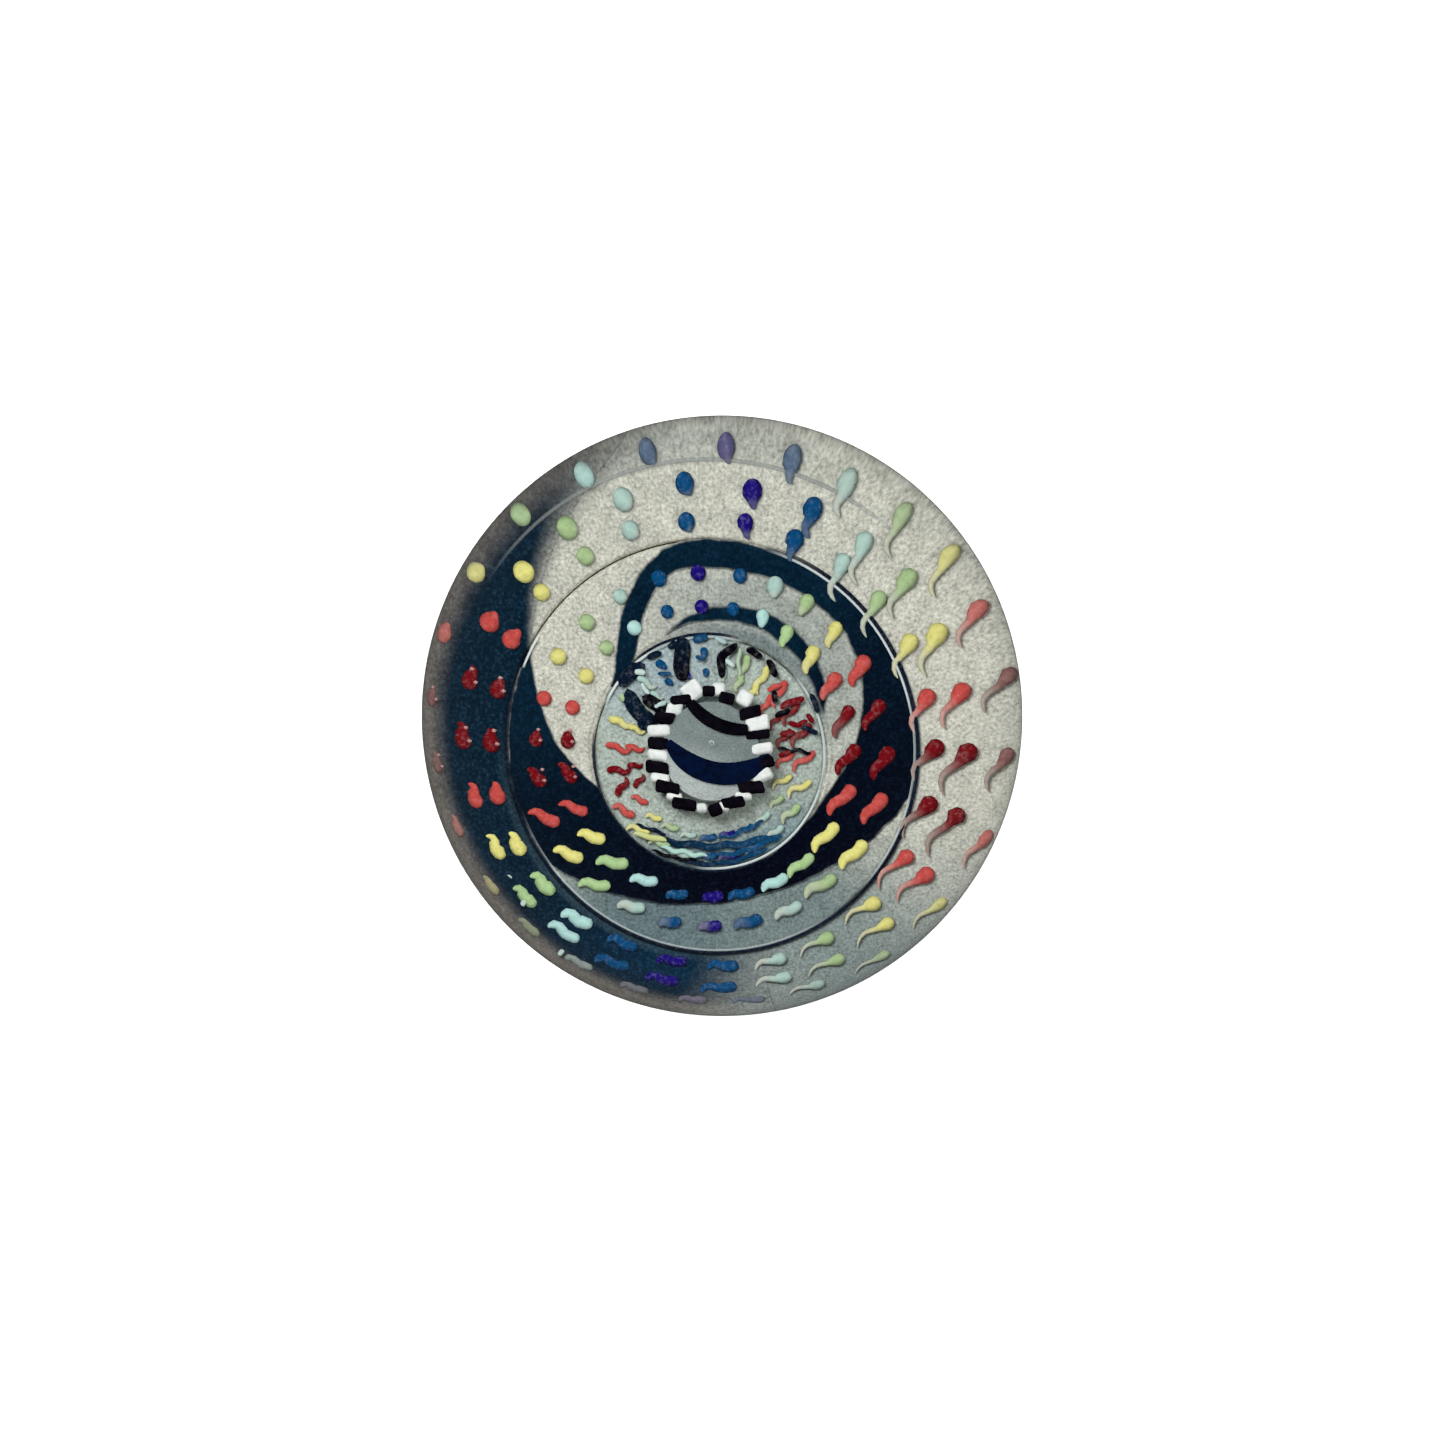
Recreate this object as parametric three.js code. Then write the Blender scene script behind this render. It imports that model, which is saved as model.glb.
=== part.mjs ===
// Glass ball paperweight with a coloured motif cased inside it.
// Millimetres, +Z up. The origin is the centre of the flat ground face that the ball stands on.
//
// The ball is made in layers, as a glass worker makes it: a clear pad, an opaque cushion, three
// round tiers of pale ground with navy swirls laid on them, rings of enamel dots, an eye with a
// chequered border, and a clear dome gathered over everything.
import * as THREE from 'three';

// ---- driving dimensions -------------------------------------------------------------------
const BALL_RADIUS = 38; //           outside of the clear glass
const FOOT_RADIUS = 24; //           flat face ground on the underside
const MOTIF_DEPTH = 13.1; //         from the ball's centre down to the top of the pale ground
const CLEARANCE = 0.3; //            between pieces that lie on or in each other

const GROUND_RADIUS = 26.3; //       outer tier, and the cushion under it
const GROUND_THICKNESS = 2.4; //     the three tiers
const CUSHION_EDGE = 1.2; //         cushion thickness at its edge
const CUSHION_BELLY = 4; //          how far the cushion bulges below its edge
const MIDDLE_RIM_RADIUS = 15.46; //  joint between the outer and the middle tier
const INNER_RIM_RADIUS = 8.8; //     joint between the middle and the inner tier
const OUTER_STEP_OFFSET = 4.64; //   from the middle rim out to a faint thread on the outer tier
const INNER_DOME_RISE = 0.7; //      how far the inner tier swells towards its middle

const RIM_THREAD = 0.45; //          radius of the glass threads on the two joints
const STEP_THREAD = 0.2; //          radius of the faint outer thread
const SWIRL_THICKNESS = 0.4; //      navy plates
const SPIRAL_START_ANGLE = 112; //   the navy's spiral edge passes this angle, in degrees,
const SPIRAL_START_RADIUS = 20.5; // at this radius,
const SPIRAL_PITCH = 0.136; //       and comes in by this much for each degree

const DOTS_PER_RING = 26;
const DOT_FLATNESS = 0.6; //         height of a dot as a share of its width
const CHECK_PAIRS = 14; //           black and white blocks round the eye
const CHECK_INNER_RADIUS = 3.75;
const CHECK_OUTER_RADIUS = 5.25;
const CHECK_THICKNESS = 0.8;
const EYE_RADIUS = 3.4;
const EYE_THICKNESS = 1.1;
const EYE_BAND_THICKNESS = 0.4; //   the two dark bands on the eye
const BUBBLE_RADIUS = 0.3;

const RINGS = [
  // radius of the ring, radius of a dot's head, and angle of the indigo dot in degrees
  { radius: MIDDLE_RIM_RADIUS + 5.94, dot: 0.75, indigo: 87 },
  { radius: MIDDLE_RIM_RADIUS + 3.14, dot: 0.85, indigo: 81 },
  { radius: MIDDLE_RIM_RADIUS + 1.29, dot: 0.75, indigo: 82 },
  { radius: between(INNER_RIM_RADIUS, MIDDLE_RIM_RADIUS, 0.69), dot: 0.75, indigo: 95.5 },
  { radius: between(INNER_RIM_RADIUS, MIDDLE_RIM_RADIUS, 0.315), dot: 0.7, indigo: 96 },
  { radius: between(CHECK_OUTER_RADIUS, INNER_RIM_RADIUS, 0.704), dot: 0.45, indigo: 96 },
  { radius: between(CHECK_OUTER_RADIUS, INNER_RIM_RADIUS, 0.296), dot: 0.4, indigo: 96 },
];

const FINE_STEPS = 48; //            facets round the large pieces
const RING_SIDES = 5; //             facets round a dot ring's section
const DOT_SECTIONS = [
  // place along the pitch of the dots, and girth and shift inwards as shares of the head's radius
  { share: 0, girth: 1, inward: 0 }, //        head
  { share: 0.2, girth: 0.2, inward: 0 }, //    stem
  { share: 0.55, girth: 0.2, inward: 0.4 }, // stem
  { share: 0.8, girth: 0.6, inward: 0.4 }, //  tail, on the clockwise side of the next head
];

// ---- heights worked out from them ---------------------------------------------------------
const BALL_CENTRE_Z = Math.sqrt(BALL_RADIUS ** 2 - FOOT_RADIUS ** 2);
const GROUND_TOP_Z = BALL_CENTRE_Z - MOTIF_DEPTH;
const GROUND_BOTTOM_Z = GROUND_TOP_Z - GROUND_THICKNESS;
const CUSHION_TOP_Z = GROUND_BOTTOM_Z - CLEARANCE;
const CUSHION_EDGE_Z = CUSHION_TOP_Z - CUSHION_EDGE;
const PAD_TOP_Z = CUSHION_TOP_Z - CLEARANCE;
const SWIRL_Z = GROUND_TOP_Z + CLEARANCE;
const RING_Z = SWIRL_Z + SWIRL_THICKNESS + CLEARANCE;
const CHECK_Z = GROUND_TOP_Z + INNER_DOME_RISE + CLEARANCE;
const EYE_BAND_Z = CHECK_Z + EYE_THICKNESS + CLEARANCE;
const BUBBLE_Z = EYE_BAND_Z + EYE_BAND_THICKNESS + CLEARANCE + BUBBLE_RADIUS;

const TALLEST_DOT = Math.max(...RINGS.map((ring) => ring.dot));
const RECESS_RADIUS = GROUND_RADIUS + CLEARANCE;
const RECESS_TOP_Z = RING_Z + 2 * TALLEST_DOT * DOT_FLATNESS + CLEARANCE;
const EYE_RECESS_RADIUS = CHECK_OUTER_RADIUS + 2 * CLEARANCE;
const EYE_RECESS_TOP_Z = BUBBLE_Z + BUBBLE_RADIUS + CLEARANCE;

// ---- colours ------------------------------------------------------------------------------
const CLEAR_GLASS = { color: 0xf4f8f8, roughness: 0.02, metalness: 0, transparent: true, opacity: 0.3 };
const THREAD_GLASS = { color: 0xdfe6e4, roughness: 0.05, metalness: 0 };
const PALE_GROUND = { color: 0xc0bbb4, roughness: 0.4, metalness: 0 };
const CUSHION_GLASS = { color: 0x8f9494, roughness: 0.4, metalness: 0 };
const NAVY_GLASS = { color: 0x0a2438, roughness: 0.3, metalness: 0 };
const EYE_GREY = { color: 0x8e9698, roughness: 0.3, metalness: 0 };
const BLACK_GLASS = { color: 0x07050c, roughness: 0.3, metalness: 0 };
const WHITE_GLASS = { color: 0xe9eeea, roughness: 0.3, metalness: 0 };
const RING_COLOURS = [0x2a5f86, 0x2a1e78, 0x1c5c80, 0x1e1470, 0xd7d670, 0xc8574b, 0x7a1822];

const group = new THREE.Group();

/** A size part of the way from one size to another. */
function between(from, to, share) {
  return from + (to - from) * share;
}

/** Adds one piece to the paperweight under its own name. */
function addPiece(name, geometry, look) {
  const mesh = new THREE.Mesh(geometry, new THREE.MeshStandardMaterial(look));
  mesh.name = name;
  group.add(mesh);
  return mesh;
}

/** Turns a profile of [radius, height] points, outwards along the bottom and back over the top. */
function turned(profile) {
  const points = profile.map(([radius, height]) => new THREE.Vector2(radius, height));
  return new THREE.LatheGeometry(points, FINE_STEPS).rotateX(Math.PI / 2);
}

/** A flat-sided ring of rectangular section. */
function turnedRing(innerRadius, outerRadius, bottom, top) {
  return turned([
    [innerRadius, bottom],
    [outerRadius, bottom],
    [outerRadius, top],
    [innerRadius, top],
    [innerRadius, bottom],
  ]);
}

/** Points up the outside of the ball from one height to another, without the last one. */
function ballArc(fromZ, toZ, steps) {
  const start = Math.asin((fromZ - BALL_CENTRE_Z) / BALL_RADIUS);
  const end = Math.asin(Math.min(1, (toZ - BALL_CENTRE_Z) / BALL_RADIUS));
  return Array.from({ length: steps }, (_, i) => {
    const angle = start + ((end - start) * i) / steps;
    return [BALL_RADIUS * Math.cos(angle), BALL_CENTRE_Z + BALL_RADIUS * Math.sin(angle)];
  });
}

/** Rises from 0 to 1, with level ends, as the angle goes from one value to another. */
function rise(angle, from, to) {
  return THREE.MathUtils.smoothstep(angle, from, to);
}

/** A round hump from 0 to 1 and back to 0 between two angles. */
function hump(angle, from, to) {
  const share = THREE.MathUtils.clamp((angle - from) / (to - from), 0, 1);
  return 4 * share * (1 - share);
}

/**
 * A flat plate between two polar curves. Angles are in degrees from +X towards +Y, and the
 * plate comes to a point at each end.
 */
function swirlPlate({ from, to, step, inner, outer, bottom, thickness }) {
  const count = Math.round((to - from) / step);
  const angles = Array.from({ length: count + 1 }, (_, i) => from + ((to - from) * i) / count);
  const place = (angle, radius) => {
    const turn = THREE.MathUtils.degToRad(angle);
    return new THREE.Vector2(radius * Math.cos(turn), radius * Math.sin(turn));
  };
  const between = angles.slice(1, -1);
  const outline = [
    place(from, (inner(from) + outer(from)) / 2),
    ...between.map((angle) => place(angle, outer(angle))),
    place(to, (inner(to) + outer(to)) / 2),
    ...between.reverse().map((angle) => place(angle, inner(angle))),
  ];
  const shape = new THREE.Shape(outline);
  const plate = new THREE.ExtrudeGeometry(shape, { depth: thickness, bevelEnabled: false });
  return plate.translate(0, 0, bottom);
}

// ---- clear glass --------------------------------------------------------------------------
function buildClearGlass() {
  const dome = turned([
    [0, EYE_RECESS_TOP_Z],
    [EYE_RECESS_RADIUS, EYE_RECESS_TOP_Z],
    [EYE_RECESS_RADIUS + CLEARANCE, RECESS_TOP_Z],
    [RECESS_RADIUS, RECESS_TOP_Z],
    [RECESS_RADIUS, CUSHION_TOP_Z],
    ...ballArc(CUSHION_TOP_Z, BALL_CENTRE_Z + BALL_RADIUS, 14),
    [0, BALL_CENTRE_Z + BALL_RADIUS],
  ]);
  addPiece('magnifying_dome', dome, CLEAR_GLASS);

  const pad = turned([
    [0, 0],
    ...ballArc(0, PAD_TOP_Z, 4),
    [Math.sqrt(BALL_RADIUS ** 2 - (BALL_CENTRE_Z - PAD_TOP_Z) ** 2), PAD_TOP_Z],
    [RECESS_RADIUS, PAD_TOP_Z],
    ...cushionUnderside(RECESS_RADIUS, CUSHION_EDGE_Z - CLEARANCE),
  ]);
  addPiece('base_pad', pad, CLEAR_GLASS);
}

/** The shallow bowl under the cushion, from its edge in to the axis. */
function cushionUnderside(radius, edgeZ) {
  const steps = 4;
  return Array.from({ length: steps + 1 }, (_, i) => {
    const angle = (i / steps) * (Math.PI / 2);
    return [radius * Math.cos(angle), edgeZ - CUSHION_BELLY * Math.sin(angle)];
  }).map(([r, z], i) => (i === steps ? [0, z] : [r, z]));
}

// ---- ground -------------------------------------------------------------------------------
function buildGround() {
  const underside = cushionUnderside(GROUND_RADIUS, CUSHION_EDGE_Z).reverse();
  const cushion = turned([...underside, [GROUND_RADIUS, CUSHION_TOP_Z], [0, CUSHION_TOP_Z]]);
  addPiece('ground_cushion', cushion, CUSHION_GLASS);

  const half = CLEARANCE / 2;
  const outer = turnedRing(MIDDLE_RIM_RADIUS + half, GROUND_RADIUS, GROUND_BOTTOM_Z, GROUND_TOP_Z);
  addPiece('outer_ground', outer, PALE_GROUND);
  const middle = turnedRing(
    INNER_RIM_RADIUS + half,
    MIDDLE_RIM_RADIUS - half,
    GROUND_BOTTOM_Z,
    GROUND_TOP_Z,
  );
  addPiece('middle_ground', middle, PALE_GROUND);
  const inner = turned([
    [0, GROUND_BOTTOM_Z],
    [INNER_RIM_RADIUS - half, GROUND_BOTTOM_Z],
    [INNER_RIM_RADIUS - half, GROUND_TOP_Z],
    [CHECK_OUTER_RADIUS + CLEARANCE, GROUND_TOP_Z],
    [CHECK_OUTER_RADIUS, GROUND_TOP_Z + INNER_DOME_RISE],
    [0, GROUND_TOP_Z + INNER_DOME_RISE],
  ]);
  addPiece('inner_ground', inner, PALE_GROUND);
}

// ---- navy swirls --------------------------------------------------------------------------
/** The spiral edge that the navy follows inwards, as a radius at an angle. */
function spiralEdge(angle) {
  return SPIRAL_START_RADIUS - SPIRAL_PITCH * (angle - SPIRAL_START_ANGLE);
}

function buildSwirls() {
  const level = { bottom: SWIRL_Z, thickness: SWIRL_THICKNESS };
  const besideRim = RIM_THREAD + CLEARANCE;
  const outerTier = { low: MIDDLE_RIM_RADIUS + besideRim, high: GROUND_RADIUS - CLEARANCE };
  const middleTier = { low: INNER_RIM_RADIUS + besideRim, high: MIDDLE_RIM_RADIUS - besideRim };
  const innerTier = { low: CHECK_OUTER_RADIUS + 2 * CLEARANCE, high: INNER_RIM_RADIUS - besideRim };
  const within = ({ low, high }, radius) => THREE.MathUtils.clamp(radius, low, high);
  const depth = ({ low, high }) => high - low;

  // A broad crescent down the left of the outer tier.
  const outerSwirl = swirlPlate({
    from: 100,
    to: 300,
    step: 8,
    inner: (a) => within(outerTier, spiralEdge(a)) + depth(outerTier) * rise(a, 264, 304),
    outer: () => outerTier.high,
    ...level,
  });
  addPiece('outer_swirl', outerSwirl, NAVY_GLASS);

  // One long arm round the middle tier: in from the left, under the inner rim, out to the
  // right, over the top against the middle rim, and in again at the upper left.
  const overTop = (a) => 0.73 * (rise(a, 325, 410) - rise(a, 458, 494));
  const fromBelow = (a) => 0.64 * hump(a, 214, 350) + rise(a, 455, 508);
  const middleSwirl = swirlPlate({
    from: 158,
    to: 500,
    step: 9,
    inner: (a) => within(middleTier, spiralEdge(a)) + depth(middleTier) * overTop(a),
    outer: (a) => middleTier.high - depth(middleTier) * fromBelow(a),
    ...level,
  });
  addPiece('middle_swirl', middleSwirl, NAVY_GLASS);

  // A short crescent against the inner rim, inside that arm.
  const crescent = swirlPlate({
    from: 22,
    to: 110,
    step: 11,
    inner: () => middleTier.low,
    outer: (a) => middleTier.low + 0.35 * depth(middleTier) * hump(a, 22, 110),
    ...level,
  });
  addPiece('crescent_swirl', crescent, NAVY_GLASS);

  // Two small pieces on the inner tier.
  const left = swirlPlate({
    from: 126,
    to: 160,
    step: 8.5,
    inner: () => innerTier.low,
    outer: (a) => innerTier.low + depth(innerTier) * hump(a, 126, 160),
    ...level,
  });
  addPiece('inner_swirl_left', left, NAVY_GLASS);
  const lower = swirlPlate({
    from: 228,
    to: 322,
    step: 9.4,
    inner: (a) => innerTier.high - 0.68 * depth(innerTier) * hump(a, 228, 322),
    outer: () => innerTier.high,
    ...level,
  });
  addPiece('inner_swirl_lower', lower, NAVY_GLASS);
}

// ---- glass threads on the joints ----------------------------------------------------------
function buildRims() {
  const threads = [
    ['outer_step_rim', MIDDLE_RIM_RADIUS + OUTER_STEP_OFFSET, STEP_THREAD, RING_Z],
    ['middle_rim', MIDDLE_RIM_RADIUS, RIM_THREAD, SWIRL_Z],
    ['inner_rim', INNER_RIM_RADIUS, RIM_THREAD, SWIRL_Z],
  ];
  for (const [name, radius, thread, bottom] of threads) {
    const ring = new THREE.TorusGeometry(radius, thread, 6, FINE_STEPS);
    addPiece(name, ring.translate(0, 0, bottom + thread), THREAD_GLASS);
  }
}

// ---- rings of enamel dots -----------------------------------------------------------------
/**
 * One ring of comma-shaped dots on a thin stem: a ring-shaped tube whose girth, place and
 * distance from the middle change along each dot, from its head to the tail of the next.
 */
function dotRing({ radius, dot, indigo }) {
  const pitch = (2 * Math.PI) / DOTS_PER_RING;
  const steps = DOTS_PER_RING * DOT_SECTIONS.length;
  const ring = new THREE.TorusGeometry(radius, dot, RING_SIDES, steps);
  const position = ring.attributes.position;
  for (let i = 0; i < position.count; i += 1) {
    const x = position.getX(i);
    const y = position.getY(i);
    const step = i % (steps + 1);
    const place = step % DOT_SECTIONS.length;
    const { share, girth, inward } = DOT_SECTIONS[place];
    const turn = Math.atan2(y, x) + pitch * (share - place / DOT_SECTIONS.length);
    const across = radius - inward * dot + (Math.hypot(x, y) - radius) * girth;
    const height = position.getZ(i) * girth * DOT_FLATNESS;
    position.setXYZ(i, across * Math.cos(turn), across * Math.sin(turn), height);
  }
  ring.rotateZ(THREE.MathUtils.degToRad(indigo));
  return ring.translate(0, 0, RING_Z + dot * DOT_FLATNESS);
}

function buildDotRings() {
  RINGS.forEach((ring, i) => {
    const look = { color: RING_COLOURS[i], roughness: 0.35, metalness: 0 };
    addPiece(`dot_ring_${i + 1}`, dotRing(ring), look);
  });
}

// ---- chequered border and eye -------------------------------------------------------------
/** One block of the border, between two radii, with a gap to the blocks beside it. */
function checkBlock(index) {
  const pitch = Math.PI / CHECK_PAIRS;
  const middle = index * pitch;
  const corner = (radius, side) => {
    const angle = middle + side * (pitch / 2 - CLEARANCE / 2 / radius);
    return new THREE.Vector2(radius * Math.cos(angle), radius * Math.sin(angle));
  };
  const outline = new THREE.Shape([
    corner(CHECK_INNER_RADIUS, -1),
    corner(CHECK_OUTER_RADIUS, -1),
    corner(CHECK_OUTER_RADIUS, 1),
    corner(CHECK_INNER_RADIUS, 1),
  ]);
  const block = new THREE.ExtrudeGeometry(outline, { depth: CHECK_THICKNESS, bevelEnabled: false });
  return block.translate(0, 0, CHECK_Z);
}

function buildCheckedBorder() {
  for (let i = 0; i < 2 * CHECK_PAIRS; i += 1) {
    const number = String(Math.floor(i / 2) + 1).padStart(2, '0');
    const dark = i % 2 === 0;
    const name = `check_${dark ? 'black' : 'white'}_${number}`;
    addPiece(name, checkBlock(i), dark ? BLACK_GLASS : WHITE_GLASS);
  }
}

/** A flat band along an arc, widest at its middle and pointed at its ends. */
function eyeBand({ middle, radius, direction, spread, width }) {
  const steps = 10;
  const edge = (share, side) => {
    const angle = THREE.MathUtils.degToRad(direction + spread * (share - 0.5));
    const half = side * (width / 2) * Math.sin(Math.PI * share) ** 0.7;
    return new THREE.Vector2(
      middle[0] + (radius + half) * Math.cos(angle),
      middle[1] + (radius + half) * Math.sin(angle),
    );
  };
  const shares = Array.from({ length: steps + 1 }, (_, i) => i / steps);
  const outline = [
    ...shares.map((share) => edge(share, 1)),
    ...shares.slice(1, -1).reverse().map((share) => edge(share, -1)),
  ];
  const band = new THREE.ExtrudeGeometry(new THREE.Shape(outline), {
    depth: EYE_BAND_THICKNESS,
    bevelEnabled: false,
  });
  return band.translate(0, 0, EYE_BAND_Z);
}

function buildEye() {
  const disc = turned([
    [0, CHECK_Z],
    [EYE_RADIUS, CHECK_Z],
    [EYE_RADIUS, CHECK_Z + EYE_THICKNESS * 0.6],
    [EYE_RADIUS * 0.8, CHECK_Z + EYE_THICKNESS],
    [0, CHECK_Z + EYE_THICKNESS],
  ]);
  addPiece('eye_disc', disc, EYE_GREY);

  const upper = eyeBand({ middle: [2.34, 6.74], radius: 4.8, direction: 246, spread: 58, width: 0.9 });
  addPiece('eye_band_upper', upper, BLACK_GLASS);
  const lower = eyeBand({ middle: [1.14, 3.92], radius: 5.4, direction: 263, spread: 97, width: 1.4 });
  addPiece('eye_band_lower', lower, NAVY_GLASS);

  const bubble = new THREE.SphereGeometry(BUBBLE_RADIUS, 8, 6).translate(0, 0, BUBBLE_Z);
  addPiece('centre_bubble', bubble, CLEAR_GLASS);
}

buildClearGlass();
buildGround();
buildSwirls();
buildRims();
buildDotRings();
buildCheckedBorder();
buildEye();

export default group;
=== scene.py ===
"""Glass ball paperweight: a clear ball cased over a motif of navy swirls, enamel dots and an eye.

Sizes are in millimetres and angles in degrees from +X towards +Y, as the motif is seen from above.
Each piece is built at its place in the frame and then brought to metres.
"""
import logging
import math
import random
from dataclasses import astuple, dataclass
from enum import Enum
from typing import Any, Callable, Sequence, Union

import bmesh
import bpy
from mathutils import Matrix, Vector


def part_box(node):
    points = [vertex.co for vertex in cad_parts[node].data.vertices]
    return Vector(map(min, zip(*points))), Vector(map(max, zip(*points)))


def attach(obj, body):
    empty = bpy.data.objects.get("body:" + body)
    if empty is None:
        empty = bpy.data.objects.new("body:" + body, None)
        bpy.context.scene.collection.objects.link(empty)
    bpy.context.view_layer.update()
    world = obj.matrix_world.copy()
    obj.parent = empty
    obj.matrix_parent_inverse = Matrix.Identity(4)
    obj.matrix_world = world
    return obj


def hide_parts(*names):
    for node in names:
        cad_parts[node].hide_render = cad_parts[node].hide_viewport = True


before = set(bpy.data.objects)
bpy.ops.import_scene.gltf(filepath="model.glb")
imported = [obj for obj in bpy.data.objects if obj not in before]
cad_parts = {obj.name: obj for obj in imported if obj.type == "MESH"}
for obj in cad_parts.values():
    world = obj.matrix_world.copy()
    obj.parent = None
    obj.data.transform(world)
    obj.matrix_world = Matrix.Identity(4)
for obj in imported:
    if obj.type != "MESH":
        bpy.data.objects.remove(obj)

MM = 0.001
BODY = "root"
OVAL = (0.968, 1.015)
LOG = logging.getLogger("paperweight")
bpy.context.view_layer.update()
PAINT = "paint"
TINY = 1e-3
MERGED = 1e-4
THREAD_CORNER = math.radians(60)

Number = Union[float, "Value"]
Rgb = tuple[float, float, float]
Point = tuple[float, float]


# ---- sizes taken from the frame --------------------------------------------------------------
def box_mm(node: str) -> tuple[Vector, Vector]:
    """A CAD node's lowest and highest corners in millimetres."""
    low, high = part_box(node)
    return Vector(low) / MM, Vector(high) / MM


def outer_radius(node: str) -> float:
    """Half the width of a round CAD node."""
    low, high = box_mm(node)
    return (high.x - low.x) / 2


def ring_radius(node: str) -> float:
    """Radius of the middle of a ring-shaped CAD node, whose thread has six sides.

    Args:
        node: the ring's name.

    Returns:
        The radius in millimetres.
    """
    low, high = box_mm(node)
    thread = (high.z - low.z) / 2 / math.sin(THREAD_CORNER)
    return outer_radius(node) - thread


BALL_RADIUS = outer_radius("magnifying_dome")
BALL_CENTRE_Z = box_mm("magnifying_dome")[1].z - BALL_RADIUS
GROUND_RADIUS = outer_radius("outer_ground")
MIDDLE_RIM = ring_radius("middle_rim")
INNER_RIM = ring_radius("inner_rim")
OUTER_STEP = ring_radius("outer_step_rim")
GROUND_Z = box_mm("outer_swirl")[0].z
GROUND_BASE_Z = box_mm("outer_ground")[0].z
SWIRL_Z = GROUND_Z + 0.05
DOT_Z = GROUND_Z + 0.16
STROKE_Z = GROUND_Z + 0.2
THREAD_Z = GROUND_Z + 0.12
EYE_Z = box_mm("eye_disc")[0].z
EYE_RADIUS = outer_radius("eye_disc") + 0.4


# ---- arithmetic that works on numbers and on shader values alike ------------------------------
class Value:
    """A shader socket that carries a number, with the arithmetic that the finishes use."""

    def __init__(self, graph: "Graph", socket: bpy.types.NodeSocket) -> None:
        """Wraps one output socket of a graph."""
        self.graph = graph
        self.socket = socket

    def _math(self, operation: str, *terms: Number) -> "Value":
        """The result of a Math node on some terms."""
        return self.graph.value("ShaderNodeMath", {"operation": operation}, dict(enumerate(terms)))

    def __add__(self, other: Number) -> "Value":
        """This value plus another."""
        return self._math("ADD", self, other)

    __radd__ = __add__

    def __mul__(self, other: Number) -> "Value":
        """This value times another."""
        return self._math("MULTIPLY", self, other)

    __rmul__ = __mul__

    def __sub__(self, other: Number) -> "Value":
        """This value less another."""
        return self._math("SUBTRACT", self, other)

    def __rsub__(self, other: Number) -> "Value":
        """Another value less this one."""
        return self._math("SUBTRACT", other, self)

    def __pow__(self, other: Number) -> "Value":
        """This value to a power."""
        return self._math("POWER", self, other)

    def __lt__(self, other: Number) -> "Value":
        """1 where this value is less than another, else 0."""
        return self._math("LESS_THAN", self, other)

    def at_least(self, other: Number) -> "Value":
        """The larger of this value and another."""
        return self._math("MAXIMUM", self, other)

    def at_most(self, other: Number) -> "Value":
        """The smaller of this value and another."""
        return self._math("MINIMUM", self, other)

    def angle_from(self, x: Number) -> "Value":
        """The angle in degrees of the point whose y is this value and whose x is another."""
        return self._math("ARCTAN2", self, x) * math.degrees(1)

    def mapped(self, low: Number, high: Number, kind: str) -> "Value":
        """Goes from 0 to 1 as this value goes from low to high, along a line or an S curve."""
        inputs = {"Value": self, "From Min": low, "From Max": high}
        return self.graph.value("ShaderNodeMapRange", {"interpolation_type": kind, "clamp": True}, inputs)


def share(x: Number, low: Number, high: Number) -> Number:
    """How far a value has come from low to high.

    Args:
        x: the value.
        low: where the share is 0.
        high: where it is 1.

    Returns:
        The share, between 0 and 1.
    """
    if isinstance(x, Value):
        return x.mapped(low, high, "LINEAR")
    return min(max((x - low) / (high - low), 0.0), 1.0)


def rise(x: Number, low: Number, high: Number) -> Number:
    """How far a value has come from low to high, with level ends.

    Args:
        x: the value.
        low: where the rise starts.
        high: where it ends.

    Returns:
        The rise, between 0 and 1.
    """
    if isinstance(x, Value):
        return x.mapped(low, high, "SMOOTHSTEP")
    part = share(x, low, high)
    return part * part * (3 - 2 * part)


def hump(x: Number, low: Number, high: Number) -> Number:
    """A round hump from 0 to 1 and back between low and high."""
    part = share(x, low, high)
    return 4 * part * (1 - part)


def larger(a: Number, b: float) -> Number:
    """The larger of a value and a number."""
    return a.at_least(b) if isinstance(a, Value) else max(a, b)


def around(angle: float, middle: float) -> float:
    """How far an angle is from a middle one, between -180 and 180."""
    return (angle - middle + 180.0) % 360.0 - 180.0


def onwards(angle: float, start: float) -> float:
    """An angle taken past a full turn, so that it isn't before the start."""
    return start + (angle - start) % 360.0


def polar(angle: float, radius: float, z: float = 0.0) -> Vector:
    """A point by its angle and its distance from the axis."""
    turn = math.radians(angle)
    return Vector((radius * math.cos(turn), radius * math.sin(turn), z))


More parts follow.
